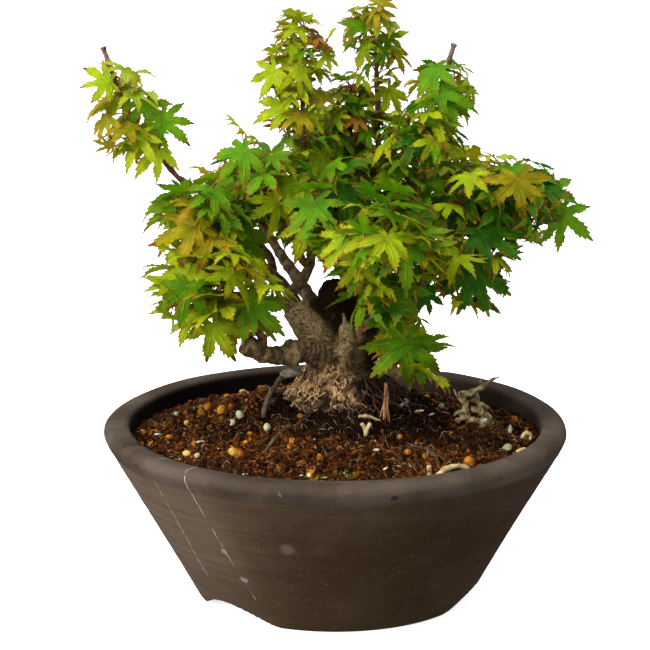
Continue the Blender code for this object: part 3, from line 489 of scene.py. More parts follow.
def clay_look():
    """Dark unglazed clay: dust and painted light towards the left, dust on the lip, painted shade
    to the right, on the lip and inside; scratches and marks.
    """
    look = Look("dark_clay", 0.80, 0.06)
    streaks = look.noise(1.0, 4, 0.6, look.stretched((22, 22, 420)))
    cloud = look.noise(24, 5, 0.62)
    fine = look.noise(420, 3, 0.6)
    x, y, z = (look.axis(letter) for letter in "XYZ")
    # The fired body: streaked, cloudy, with painted shade that darkens it towards the right, and a
    # fine grain.
    body = look.mix(look.band(streaks, 0.30, 0.72), (0.0350, 0.0185, 0.0078),
                    (0.0400, 0.0225, 0.0105))
    body = look.mix(look.band(cloud, 0.46, 0.74), body, (0.058, 0.0370, 0.0215))
    # Painted shade: the right side of the wall, away from the lights, is darkened.
    body = look.mix(look.times(look.band(x, 0.005, 0.085), 0.85), body, (0.0280, 0.0130, 0.0040))
    body = look.mix(look.times(look.band(fine, 0.52, 0.70), 0.30), body, (0.078, 0.056, 0.038))
    # Dust under the lip and on the lip's side, and a paler colour towards the left that is partly
    # dust and partly painted light and sheen of the lit side.
    height = look.plus(z, look.about_zero(cloud, 0.034))
    # Painted light: the left side, towards the key light, turns paler.
    lit_left = look.band(look.minus(look.about_zero(cloud, 0.05), x), -0.005, 0.095)
    under_lip = look.times(look.band(height, 0.0440, 0.0610),
                           look.plus(look.times(lit_left, 0.40), 0.10))
    lip = look.times(look.band(z, 0.0660, 0.0700),
                     look.plus(look.times(look.band(fine, 0.40, 0.62), 0.20), 0.12))
    dust_and_lit_left = look.maths("MAXIMUM", look.maths("MAXIMUM", under_lip, look.times(lit_left, 0.62)), lip)
    dust_and_lit_left = look.times(dust_and_lit_left, look.plus(look.times(look.band(streaks, 0.20, 0.75), 0.45), 0.72),
                      look.band(z, 0.0720, 0.0650))
    colour = look.mix(dust_and_lit_left, body, (0.150, 0.108, 0.078))
    # The lip: worn patches, the whole lip darkened as painted shade against the strong light from
    # above; pale specks and black pits.
    lip_wear_and_shade = look.mix(look.band(cloud, 0.40, 0.66), (0.0430, 0.0300, 0.0205),
                    (0.0820, 0.0610, 0.0460))
    colour = look.mix(look.band(z, 0.0655, 0.0690), colour, lip_wear_and_shade)
    specks = look.times(look.band(look.cells(430), 0.11, 0.05),
                        look.band(look.noise(60, 1), 0.52, 0.62), 0.45)
    colour = look.mix(specks, colour, (0.15, 0.12, 0.09))
    pits = look.times(look.band(look.cells(260), 0.10, 0.05),
                      look.band(look.noise(45, 1), 0.47, 0.40))
    colour = look.mix(pits, colour, (0.006, 0.003, 0.002))
    # Scratches: lines on the wall that wander a little and break off here and there.
    wander = look.about_zero(look.noise(110, 3, 0.6), 0.0026)
    breaks = look.times(look.band(look.noise(330, 3), 0.32, 0.52),
                        look.band(look.noise(70, 1), 0.30, 0.42))
    for start, end, width in SCRATCHES:
        start, end = mm(*start), mm(*end)
        outward = unit(np.array((start[0] + end[0], start[1] + end[1], 0.0)))
        square = unit(np.cross(end - start, outward))
        offset = look.minus(look.vector_maths("DOT_PRODUCT", look.place, square),
                            float(square.dot(start)))
        offset = look.maths("ABSOLUTE", look.plus(offset, wander))
        line = look.times(look.band(offset, width * 1.6 * MM, width * 0.4 * MM),
                          look.band(z, end[2] - 0.001, end[2] + 0.002), breaks,
                          look.band(y, -0.030, -0.040), 0.8)
        colour = look.mix(line, colour, (0.36, 0.32, 0.27))
    uneven = look.about_zero(look.noise(420, 3, 0.65), 0.0050)
    for place, radius, tone, strength in MARKS:
        apart = look.plus(look.vector_maths("DISTANCE", look.place, mm(*place)), uneven)
        spot = look.band(apart, radius * 1.2 * MM, radius * 0.35 * MM)
        colour = look.mix(look.times(spot, strength), colour, tone)
    # How far outside the line of the outer wall, carried up and down: the inside is below zero.
    beyond = look.minus(look.vector_maths("LENGTH", look.stretched((1, 1, 0))),
                        look.times(z, WALL_SLOPE))
    # Painted shade: the inner wall above the soil turns near black, most towards the left and back
    # where it lies in shadow.
    inner_shade = look.times(look.band(beyond, FOOT_RADIUS - 4 * MM, FOOT_RADIUS - 7 * MM),
                      look.band(z, 0.0765, 0.0740),
                      look.plus(look.times(look.band(x, 0.035, -0.015), 0.75), 0.20), 0.98)
    look.colour(look.mix(inner_shade, colour, (0.0018, 0.0009, 0.0005)))
    look.link(look.band(cloud, -2.2, 1.2), look.shader.inputs["Roughness"])
    look.bump(look.plus(look.noise(1500, 3, 0.6), look.times(streaks, 0.6)), 0.00035)
    return look.material


def soil_look(name, dark, light, specks, per_metre=900, shaded_hollows=False):
    """Crumbly earth: dark and light clods, specks of another colour, and, where asked, dark patches
    and painted shade that blackens hollows and shaded places.
    """
    look = Look(name, 0.95, 0.04)
    clods = look.noise(per_metre, 4, 0.65)
    colour = look.mix(look.band(clods, 0.38, 0.66), dark, light)
    colour = look.mix(look.band(look.noise(per_metre * 0.35, 2), 0.60, 0.68), colour, specks)
    if shaded_hollows:
        patch = look.times(look.band(look.noise(75, 3), 0.44, 0.60), 0.6)
        colour = look.mix(patch, colour, (0.020, 0.0075, 0.002))
        # Painted shade from the piece's own field: hollows and shaded places turn near black.
        colour = look.mix(look.field("hollow_shade"), colour, (0.0030, 0.0012, 0.0006))
    look.colour(colour)
    look.bump(clods, 0.0006)
    return look.material


def bark_look():
    """Old bark, in fields: grey limbs with dark dashes, buff cork at the foot, and painted shade in
    the hollows and wherever the shade field lies.
    """
    look = Look("old_bark", 0.92, 0.12)
    fine = look.noise(1000, 5, 0.66)
    broad = look.noise(150, 4, 0.6)
    brown = look.mix(look.band(fine, 0.36, 0.66), (0.020, 0.010, 0.0045), (0.155, 0.085, 0.038))
    brown = look.mix(look.band(broad, 0.52, 0.68), brown, (0.21, 0.125, 0.060))
    dashes = look.noise(1.0, 2, 0.5, look.stretched((430, 430, 1500)))
    grey = look.mix(look.band(fine, 0.34, 0.62), (0.165, 0.108, 0.048), (0.46, 0.335, 0.165))
    grey = look.mix(look.times(look.band(dashes, 0.57, 0.64), 0.85), grey, (0.025, 0.014, 0.007))
    along = look.noise(1.0, 5, 0.64, look.stretched((560, 560, 330)))
    cork = look.mix(look.band(along, 0.40, 0.62), (0.040, 0.017, 0.005), (0.44, 0.265, 0.115))
    cork = look.mix(look.band(broad, 0.58, 0.72), cork, (0.66, 0.44, 0.22))
    colour = look.mix(look.field("pale"), brown, grey)
    colour = look.mix(look.field("cork"), colour, cork)
    moss = look.times(look.band(look.noise(330, 3), 0.52, 0.62), look.field("moss"))
    colour = look.mix(moss, colour, (0.050, 0.062, 0.014))
    # Painted shade: the shade field turns the bark near black.
    look.colour(look.mix(look.field("shade"), colour, (0.0040, 0.0019, 0.0009)))
    look.bump(look.plus(fine, look.times(along, 0.8)), 0.0009)
    return look.material


def wood_look(name, dark, light, crack=(0.03, 0.018, 0.013), pitch=1100):
    """Young bark: two tones in fine rings and spots, with thin dark cracks across."""
    look = Look(name, 0.75, 0.15)
    tone = look.noise(pitch * 0.35, 3, 0.6)
    colour = look.mix(look.band(tone, 0.35, 0.68), dark, light)
    look.colour(look.mix(look.band(look.noise(pitch, 2), 0.62, 0.70), colour, crack))
    look.bump(look.noise(pitch, 4, 0.6), 0.0003)
    return look.material


def leaf_look(name, colour, deep, pale, through):
    """A leaf: mottled, greener at its foot and olive further out, paler along its veins, its
    toothed margin and tips bronzed, with light through it."""
    look = Look(name, 0.52, 0.10)
    mottle = look.noise(240, 4, 0.62)
    base = look.mix(look.band(mottle, 0.36, 0.66), deep, colour)
    across_and_on = look.add("UVMap", {"uv_map": "Surface"}).outputs["UV"]
    from_rib = look.maths("ABSOLUTE", look.minus(look.axis("X", across_and_on), 0.5))
    on = look.axis("Y", across_and_on)
    olive = (1.15 * colour[0] + 0.03, 0.80 * colour[1], colour[2] + 0.001)
    outer = look.times(look.band(on, 0.40, 0.95), look.band(look.noise(60, 2), 0.38, 0.62), 0.55)
    base = look.mix(outer, base, olive)
    green = (0.45 * colour[0], 0.72 * colour[1], 0.6 * colour[2])
    inner = look.times(look.band(on, 0.62, 0.18), look.band(look.noise(45, 1), 0.40, 0.60), 0.55)
    base = look.mix(inner, base, green)
    margin = look.times(look.band(from_rib, 0.24, 0.47), look.band(on, 0.30, 0.55))
    margin = look.times(look.maths("MAXIMUM", margin, look.band(on, 0.84, 0.99)),
                        look.band(look.noise(85, 2), 0.33, 0.55), 0.85)
    base = look.mix(margin, base, (0.20, 0.085, 0.008))
    slant = look.minus(on, look.times(from_rib, 0.30))
    side_veins = look.band(look.maths("SINE", look.times(slant, 62.0)), 0.80, 0.99)
    veins = look.maths("MAXIMUM", look.band(from_rib, 0.10, 0.01), look.times(side_veins, 0.45))
    look.colour(look.mix(look.times(veins, 0.40), base, pale))
    look.bump(look.minus(look.times(mottle, 0.6), veins), 0.00035)
    look.glow_through(through, 0.28)
    return look.material


# Limbs ------------------------------------------------------------------------------------


class Limb:
    """A tapering round limb on a smooth curve through its places."""

    def __init__(self, places, radii, spacing=LIMB_SPACING):
        self.points, self.ways = smooth_path(np.array(places, float), spacing)
        self.along = path_lengths(self.points)
        self.length = self.along[-1]
        knots = np.linspace(0, self.length, len(radii))
        self.radii = np.interp(self.along, knots, radii)

    def at(self, distance):
        """The place on the axis, the direction and the radius at this distance from the foot."""
        place = along_axis(distance, self.along, self.points)
        way = unit(along_axis(distance, self.along, self.ways))
        return place, way, float(np.interp(distance, self.along, self.radii))

    def clearance(self, places):
        """How far each place is outside this limb's surface."""
        start, end = self.points[:-1], self.points[1:]
        step = end - start
        offset = places[:, None] - start[None]
        share = np.clip((offset * step).sum(-1) / (step**2).sum(-1), 0, 1)
        gap = np.linalg.norm(offset - share[..., None] * step, axis=-1)
        radius = self.radii[:-1] + share * np.diff(self.radii)
        return (gap - radius).min(axis=1)


class Wood:
    """The axes of many limbs as one array of straight steps, for quick distances."""

    def __init__(self, limbs):
        paths = [np.vstack([limb.points[:-1:2], limb.points[-1:]]) for limb in limbs]
        widths = [np.append(limb.radii[:-1:2], limb.radii[-1]) for limb in limbs]
        self.start = np.vstack([path[:-1] for path in paths])
        self.step = np.vstack([np.diff(path, axis=0) for path in paths])
        self.radius = np.concatenate([width[:-1] for width in widths])
        self.taper = np.concatenate([np.diff(width) for width in widths])
        self.first = np.cumsum([0] + [len(path) - 1 for path in paths[:-1]])
        self.square = (self.step**2).sum(axis=-1)

    def clearances(self, places):
        """How far each place is outside each limb's surface: an array (places, limbs)."""
        offset = places[:, None] - self.start
        share = np.clip(np.einsum("psk,sk->ps", offset, self.step) / self.square, 0, 1)
        offset -= share[..., None] * self.step
        gap = np.sqrt(np.einsum("psk,psk->ps", offset, offset)) - self.radius - share * self.taper
        return np.minimum.reduceat(gap, self.first, axis=1)


def path_lengths(points):
    """How far along a path each of its points is."""
    return np.concatenate([[0.0], np.cumsum(np.linalg.norm(np.diff(points, axis=0), axis=1))])


def along_axis(distance, along, values):
    """Rows of values, given at the distances `along` a path, read at other distances."""
    return np.stack([np.interp(distance, along, column) for column in values.T], axis=-1)


def smooth_path(places, spacing):
    """Evenly spaced points on the Catmull-Rom curve through the places, and its directions."""
    padded = np.vstack([2 * places[0] - places[1], places, 2 * places[-1] - places[-2]])
    share = np.linspace(0, 1, CURVE_STEPS, endpoint=False)[:, None]
    curve = []
    for a, b, c, d in zip(padded, padded[1:], padded[2:], padded[3:]):
        curve.append(0.5 * (2 * b + (c - a) * share + (2 * a - 5 * b + 4 * c - d) * share**2
                            + (3 * b - a - 3 * c + d) * share**3))
    curve = np.vstack([*curve, places[-1:]])
    ways = unit(np.gradient(curve, axis=0))
    along = path_lengths(curve)
    stations = np.linspace(0, along[-1], max(3, round(along[-1] / spacing) + 1))
    return along_axis(stations, along, curve), along_axis(stations, along, ways)


def side_start(parent, share, towards):
    """Where a limb leaves its parent's side: square to the tapering surface, just clear of it."""
    place, along, radius = parent.at(share * parent.length)
    taper = (radius - parent.at(share * parent.length + MM)[2]) / MM
    out = towards - place
    out = unit(out - out.dot(along) * along)
    square = unit(out + along * taper)
    foot = place + out * radius + square * SIDE_GAP
    return foot, foot + square * SIDE_RUN


def tip_start(parent):
    """Where a limb goes on from its parent's flat tip, just clear of it."""
    place, along, _ = parent.at(parent.length)
    foot = place + along * CLEAR
    return foot, foot + along * TIP_RUN


def plan_limbs():
    """Every arm and bough as a Limb, by name."""
    limbs = {name: Limb(mm(*places), mm(*radii)) for name, places, radii in ARMS}
    for name, parent, share, places, radii in BOUGHS:
        places = mm(*places)
        parent = limbs[parent]
        start = tip_start(parent) if share is None else side_start(parent, share, places[0])
        limbs[name] = Limb([*start, *places], mm(*radii))
    return limbs


def limb_skin(limb, sides, spacing, rough, noise, sink=0.0, flare=0.0, nodes=0.0):
    """A limb's bark: rings along its path whose radius swells at the foot and at each node.

    radius = r(s) (1 + flare exp(-s/2.5 mm) + nodes cos^8(pi s/7 mm) + rough noise(point)).
    The foot is carried back by `sink`, into the limb it grows from.
    """
    stations = np.linspace(0, limb.length, max(4, round(limb.length / spacing) + 1))
    path = along_axis(stations, limb.along, limb.points)
    radii = np.interp(stations, limb.along, limb.radii)
    if sink:
        back = unit(limb.ways[0]) * -sink
        path = np.vstack([path[:1] + back, path[:1] + back / 2, path])
        radii = np.concatenate([radii[:1], radii[:1], radii])
        stations = np.concatenate([[0.0, 0.0], stations])
    ways = unit(np.gradient(path, axis=0))
    first = unit(np.cross(ways, np.array((0.83, 0.35, 0.43))))
    second = np.cross(ways, first)
    turns = np.arange(sides) * 2 * math.pi / sides
    around = (np.cos(turns)[:, None] * first[:, None] + np.sin(turns)[:, None] * second[:, None])
    swell = 1 + flare * np.exp(-stations / (2.5 * MM))
    swell = swell + nodes * np.cos(math.pi * stations / (7 * MM)) ** 8
    skin = path[:, None] + around * (radii * swell)[:, None, None]
    skin += around * (radii[:, None] * rough * noise.rough(skin, 2.2 * MM))[..., None]
    rings = len(path)
    points = np.vstack([skin.reshape(-1, 3), path[:1] - ways[:1] * radii[0] * 0.2,
                        path[-1:] + ways[-1:] * radii[-1] * 0.35])
    return points, [grid_faces(rings, sides), end_caps(rings, sides)]


# Pot and soil -----------------------------------------------------------------------------


def inner_radius(height):
    """Radius of the pot's inside at this height: the inner wall runs parallel to the outer."""
    return MOUTH_RADIUS - WALL_SLOPE * (WALL_TOP_HEIGHT - np.minimum(height, WALL_TOP_HEIGHT))


def resampled(corners, spacing):
    """Points about `spacing` apart along a polyline, keeping its corners."""
    corners = np.array(corners, float)
    runs = []
    for a, b in zip(corners, corners[1:]):
        count = max(1, round(np.linalg.norm(b - a) / spacing))
        runs.append(a + (b - a) * np.linspace(0, 1, count, endpoint=False)[:, None])
    return np.vstack([*runs, corners[-1:]])


POT_TURNS = 420
PROFILE_SPACING = 1.1 * MM
TURNING_RIPPLE = 0.10 * MM
WALL_WOBBLE = 0.35 * MM
LIP_WOBBLE = 0.35 * MM
LIP_WEAR = 0.3 * MM
# Dents in the lip: turn from the front in degrees, width in degrees, depth in mm.
LIP_DENTS = ((-66, 1.6, 1.1), (70, 1.3, 1.0), (-22, 0.9, 0.35), (38, 1.1, 0.3), (150, 1.5, 0.6))


def pot_profile(ring_inside, floor):
    """Radius and height round the pot's section, from the middle below to the middle inside."""
    lip = [(WALL_TOP_RADIUS, WALL_TOP_HEIGHT)]
    wide, high = LIP_ROUNDING
    for turn in np.radians(np.linspace(-10, 95, 12)):
        lip.append((RIM_CREST_RADIUS + wide * math.cos(turn),
                    RIM_HEIGHT - high + high * math.sin(turn)))
    lip.append((MOUTH_RADIUS + 2.6 * MM, RIM_HEIGHT - 0.25 * MM))
    for turn in np.radians(np.linspace(100, 180, 6)):
        lip.append((MOUTH_RADIUS + MOUTH_ROUNDING + MOUTH_ROUNDING * math.cos(turn),
                    RIM_HEIGHT - 2.6 * MM + MOUTH_ROUNDING * math.sin(turn)))
    corners = [
        (0.5 * MM, FOOT_HEIGHT), (ring_inside - 2 * MM, FOOT_HEIGHT), (ring_inside, 0.3 * MM),
        (ring_inside + 0.5 * MM, 0), (FOOT_RADIUS - 1.5 * MM, 0),
        (FOOT_RADIUS - 0.4 * MM, 0.35 * MM), (FOOT_RADIUS + WALL_SLOPE * 1.5 * MM, 1.5 * MM),
        *lip, (MOUTH_RADIUS, WALL_TOP_HEIGHT - 2 * MM),
        (inner_radius(floor), floor), (0.5 * MM, floor),
    ]
    return resampled(corners, PROFILE_SPACING)


def make_pot():
    """A turned bowl: a profile of radius and height carried round the axis.

    The wall carries shallow turning ripples and a slow wobble, the lip a few dents, and the
    foot ring is lifted to a bell-shaped arch between the feet: 8 mm (1 - (x/24 mm)^2)^1.2.
    """
    ring_inside = FOOT_RADIUS - FOOT_RING_WIDTH
    floor = FOOT_HEIGHT + FLOOR_THICKNESS
    profile = pot_profile(ring_inside, floor)
    turns = np.linspace(0, 2 * math.pi, POT_TURNS, endpoint=False)
    radius, height = profile[:, :1], profile[:, 1:]
    around = np.stack([np.sin(turns), -np.cos(turns)], axis=1)
    flat = np.concatenate([radius[:, :, None] * around[None],
                           np.broadcast_to(height[:, :, None], (len(profile), POT_TURNS, 1))],
                          axis=2)
    noise = Noise(71)
    wall = np.clip(height / (20 * MM), 0, 1) * (radius > ring_inside + 5 * MM)
    ripple = noise.at(flat * np.array((0.12, 0.12, 1.0)), 1.6 * MM) * TURNING_RIPPLE
    wobble = noise.at(flat, 38 * MM) * WALL_WOBBLE
    shift = (ripple + wobble - TURNING_RIPPLE - 0.5 * WALL_WOBBLE) * wall
    radius = np.broadcast_to(radius, shift.shape) + shift
    height = np.broadcast_to(height, shift.shape).copy()
    on_lip = height > WALL_TOP_HEIGHT
    height += noise.at(flat, 30 * MM) * LIP_WOBBLE * on_lip - LIP_WEAR * on_lip
    for turn, width, depth in LIP_DENTS:
        apart = (np.degrees(turns) - turn + 180) % 360 - 180
        dent = np.exp(-((apart / width) ** 2)) * depth * MM
        near_lip = np.exp(-(((height - RIM_HEIGHT) / (4 * MM)) ** 2)) * (radius > MOUTH_RADIUS)
        height -= dent * near_lip * 0.6
        radius -= dent * near_lip * np.clip((radius - RIM_CREST_RADIUS) / (3 * MM), 0, 1)
    for turn in FOOT_TURNS:
        centre = math.radians(turn + 60)
        along = radius * np.sin(turns - centre)
        arch = np.clip(1 - (along / (ARCH_WIDTH / 2)) ** 2, 0, 1) ** ARCH_SLOPING * ARCH_HEIGHT
        facing = np.cos(turns - centre) > 0
        outer = radius > ring_inside - 3 * MM
        height = np.where(facing & outer, np.maximum(height, arch * (height < arch)), height)
    points = np.stack([radius * np.sin(turns), -radius * np.cos(turns), height], axis=-1)
    rows = len(profile)
    points = np.vstack([points.reshape(-1, 3), [(0, 0, FOOT_HEIGHT), (0, 0, floor)]])
    piece("clay_pot", points, [grid_faces(rows, POT_TURNS), end_caps(rows, POT_TURNS)],
          clay_look(), "clay", stands_for=("pot",))


def clods():
    """Seeded heights on the soil's rings and segments, level at the trunk, in shares."""
    heights = np.random.default_rng(CLOD_SEED).uniform(-1, 1, (SOIL_RINGS + 1, SOIL_SEGMENTS))
    heights[-1] = 0
    return heights


CLODS = clods()


def clod_at(share, turn):
    """The clods' height between their lattice: share from edge to crown, turn in radians."""
    ring = np.clip(share, 0, 1) * SOIL_RINGS
    segment = turn / (2 * math.pi) * SOIL_SEGMENTS
    i, j = np.floor(ring).astype(int), np.floor(segment).astype(int)
    inward, onward = ring - i, segment - j
    total = 0.0
    for di, dj in ((0, 0), (0, 1), (1, 0), (1, 1)):
        weight = (inward if di else 1 - inward) * (onward if dj else 1 - onward)
        total = total + weight * CLODS[np.minimum(i + di, SOIL_RINGS), (j + dj) % SOIL_SEGMENTS]
    return CLOD_HEIGHT * total


def soil_height(x, y):
    """The soil's top: clods on a slope from front to back that rises to a level crown."""
    radius = np.hypot(x, y)
    edge = SOIL_BACK + (SOIL_FRONT - SOIL_BACK) * np.maximum(0.5 - y / (2 * MOUTH_RADIUS), 0) ** 0.6
    share = np.clip((MOUTH_RADIUS - radius) / (MOUTH_RADIUS - SOIL_CROWN_RADIUS), 0, 1)
    rise = share**1.25 * (1.25 - 0.25 * share)
    height = edge + (SOIL_CROWN - edge) * rise + clod_at(share, np.arctan2(y, x))
    return np.minimum(height, SOIL_CROWN)


CRUMBS = Noise(72)


def from_shade(x, y):
    """How far a place on the soil is from the shaded place beside the trunk's foot."""
    return np.hypot(x - 10 * MM, y + 7 * MM)


def crumbs(x, y):
    """Crumbs on the soil: 2.2 mm |rough noise 5 mm across| + 0.9 mm |noise 1.8 mm across|."""
    spot = np.stack([x, y, np.zeros_like(x)], axis=-1)
    return (2.2 * np.abs(CRUMBS.rough(spot, 5 * MM, 3))
            + 0.9 * np.abs(CRUMBS.at(spot, 1.8 * MM)) - 1.1) * MM


def soil_top(x, y):
    """The crumbly surface that grains and roots lie on."""
    return soil_height(x, y) + crumbs(x, y)


SOIL_TURNS = 560
SOIL_TOP_RINGS = 123


def make_soil():
    """The mound: rings from its hidden foot to its edge, then a polar grid of crumbs.

    The hollows between crumbs, the soil round the trunk's foot and the soil by the rim on the left
    carry a field of painted shade.
    """
    turns = np.linspace(0, 2 * math.pi, SOIL_TURNS, endpoint=False)
    circle = np.stack([np.cos(turns), np.sin(turns)], axis=1)
    floor = FOOT_HEIGHT + FLOOR_THICKNESS + CLEAR
    shares = 1 - np.linspace(0, 1, SOIL_TOP_RINGS + 1)[:-1]
    edge_height = soil_height(*(circle * (MOUTH_RADIUS - SOIL_WALL_GAP)).T)
    edge = inner_radius(edge_height) - SOIL_WALL_GAP
    plan = circle[None] * (edge[None, :, None] * shares[:, None, None])
    x, y = plan[..., 0], plan[..., 1]
    top = np.stack([x, y, soil_top(x, y)], axis=-1)
    wall = []
    for share in np.linspace(0, 1, 6)[:-1]:
        level = floor + (edge_height - floor) * share
        wall.append(np.column_stack([circle * (inner_radius(level) - SOIL_WALL_GAP)[:, None],
                                     level]))
    points = np.vstack([np.vstack(wall), top.reshape(-1, 3),
                        [(0, 0, floor), (0, 0, SOIL_CROWN - 2 * MM)]])
    rows = len(wall) + len(top)
    x, y = points[:, 0], points[:, 1]
    # Painted shade: deep between crumbs, round the shaded place by the trunk's foot, and by the rim
    # on the left.
    deep = np.clip(-crumbs(x, y) / (0.8 * MM), 0, 1)
    foot = np.clip((45 * MM - from_shade(x, y)) / (14 * MM), 0, 1)
    rim = np.clip((np.hypot(x, y) - 80 * MM) / (6 * MM), 0, 1) * (x < 20 * MM)
    hollow_shade = np.maximum.reduce([0.95 * deep, 0.85 * foot, 0.5 * rim])
    look = soil_look("dark_earth", (0.008, 0.0028, 0.0008), (0.074, 0.0225, 0.0040),
                     (0.17, 0.064, 0.010), shaded_hollows=True)
    piece("earth", points, [grid_faces(rows, SOIL_TURNS), end_caps(rows, SOIL_TURNS)], look,
          "soil", fields={"hollow_shade": hollow_shade}, stands_for=("soil",))


def rounded_lump():
    """A low round solid: twenty triangles between the twelve corners of an icosahedron."""
    gold = (1 + math.sqrt(5)) / 2
    corners = []
    for a, b in itertools.product((-1, 1), (-gold, gold)):
        corners += [(0, a, b), (a, b, 0), (b, 0, a)]
    corners = unit(np.array(corners, float))
    edge = min(np.linalg.norm(corners[0] - corners[i]) for i in range(1, 12)) * 1.01
    faces = []
    for i, j, k in itertools.combinations(range(12), 3):
        sides = [np.linalg.norm(corners[p] - corners[q]) for p, q in ((i, j), (j, k), (i, k))]
        if max(sides) < edge:
            outward = np.cross(corners[j] - corners[i], corners[k] - corners[i]).dot(corners[i])
            faces.append((i, j, k) if outward > 0 else (i, k, j))
    return corners, np.array(faces)


def turned(rng, count):
    """Random turning matrices (n, 3, 3), from random unit quaternions."""
    w, x, y, z = unit(rng.normal(size=(count, 4))).T
    return np.stack([
        np.stack([1 - 2 * (y * y + z * z), 2 * (x * y - z * w), 2 * (x * z + y * w)], -1),
        np.stack([2 * (x * y + z * w), 1 - 2 * (x * x + z * z), 2 * (y * z - x * w)], -1),
        np.stack([2 * (x * z - y * w), 2 * (y * z + x * w), 1 - 2 * (x * x + y * y)], -1)], 1)


def grains(name, places, sizes, look, seed, flat=0.72, jagged=0.34):
    """Lumps at many places: a rounded lump scaled, made jagged and turned, for each."""
    rng = np.random.default_rng(seed)
    corners, faces = rounded_lump()
    count = len(places)
    stretch = 1 + rng.uniform(-0.25, 0.25, (count, 1, 3))
    stretch[..., 2] *= flat
    shape = corners[None] * (1 + jagged * rng.uniform(-1, 1, (count, 12, 1))) * stretch
    shape = np.einsum("nij,nkj->nki", turned(rng, count), shape) * sizes[:, None, None]
    points = places[:, None] + shape
    all_faces = (faces[None] + 12 * np.arange(count)[:, None, None]).reshape(-1, 3)
    return piece(name, points.reshape(-1, 3), all_faces, look, "soil", smooth=False)


def rounded(obj):
    """Rounds a piece's lumps off by subdividing them twice."""
    rounding = obj.modifiers.new("Rounded", "SUBSURF")
    rounding.levels = rounding.render_levels = 2


def scattered(rng, count, inner=0.0, outer=86.0, patches=None, shade_crowding=0.0):
    """Places on the soil, evenly between two radii in mm or crowded into patches of a noise.

    The last argument, above zero, crowds them into the shaded place by the trunk's foot as painted
    shade, and below zero keeps them off it.
    """
    many = count if patches is None else count * 3
    radius = np.sqrt(rng.uniform(inner**2, outer**2, many)) * MM
    turn = rng.uniform(0, 2 * math.pi, many)
    x, y = radius * np.cos(turn), radius * np.sin(turn)
    if patches is not None:
        spot = np.stack([x, y, np.full(many, patches * 0.1)], axis=-1)
        crowd = CRUMBS.rough(spot, 16 * MM, 3) + rng.uniform(-0.45, 0.45, many)
        # Painted shade: a weight above zero draws grains into the shadow by the trunk's foot; below
        # zero keeps them out.
        crowd += shade_crowding * np.clip((44 * MM - from_shade(x, y)) / (12 * MM), 0, 1)
        chosen = np.argsort(-crowd)[:count]
        x, y = x[chosen], y[chosen]
    return np.stack([x, y, soil_top(x, y)], axis=-1)


# Soil grains: name, how many, smallest and largest radius in mm, dark and light colours.
GRAINS = (
    ("brown_grains", 3400, (0.30, 1.4), (0.012, 0.0040, 0.0010), (0.074, 0.0230, 0.0044)),
    ("red_grains", 2600, (0.25, 1.1), (0.038, 0.0105, 0.0022), (0.18, 0.050, 0.0085)),
    ("dark_grains", 3400, (0.30, 1.4), (0.003, 0.0014, 0.0008), (0.018, 0.008, 0.0035)),
    ("orange_grains", 220, (0.40, 2.0), (0.14, 0.045, 0.006), (0.36, 0.13, 0.015)),
    ("pale_grains", 230, (0.25, 0.9), (0.12, 0.10, 0.05), (0.32, 0.27, 0.16)),
)
# Larger granules that lie on the surface: x, y and radius in mm, and kind: pumice, yellow
# pumice, orange clay or a red berry.
GRANULES = (
    (-44, -21.5, 2.1, 0), (-40.7, -16.5, 2.8, 0), (-28.9, -31, 2.4, 0), (-42.5, -53.5, 2.9, 1),
    (-57.6, -50.5, 1.9, 0), (-61.9, -47, 2.0, 1), (-41, 54, 2.6, 0), (-36, 58, 2.6, 0),
    (-31, 57, 2.2, 1), (-49, 0.5, 2.8, 2), (-55, 9, 3.1, 2), (-58, 5, 2.2, 2), (-64, -4, 1.8, 1),
    (-6.6, -61, 2.3, 2), (26.8, -41.5, 1.8, 2), (29.8, -55, 1.9, 2), (36.7, -57, 1.6, 2),
    (78.6, 13, 2.4, 2), (55, -59, 3.2, 2), (-18.2, -47, 1.0, 3), (-36, -36, 1.6, 2),
    (72, -36, 2.9, 0), (60.5, -62, 2.5, 0), (-11, -77, 1.6, 1), (46, 8, 2.0, 0), (30, -2, 1.7, 0),
    (40, 22, 2.0, 1), (-10, 55, 2.2, 0), (30, 62, 2.0, 1), (62, 40, 2.2, 2), (10, 72, 2.0, 0),
    (-48, 34, 2.1, 2), (-70, 22, 1.9, 0),
)
GRANULE_KINDS = (
    ("pumice", (0.20, 0.20, 0.11), (0.42, 0.42, 0.27), (0.33, 0.30, 0.15)),
    ("yellow_pumice", (0.34, 0.20, 0.04), (0.60, 0.40, 0.11), (0.70, 0.60, 0.30)),
    ("orange_clay", (0.13, 0.045, 0.006), (0.42, 0.17, 0.022), (0.55, 0.30, 0.06)),
    ("red_berry", (0.40, 0.012, 0.006), (0.55, 0.030, 0.010), (0.30, 0.010, 0.005)),
)
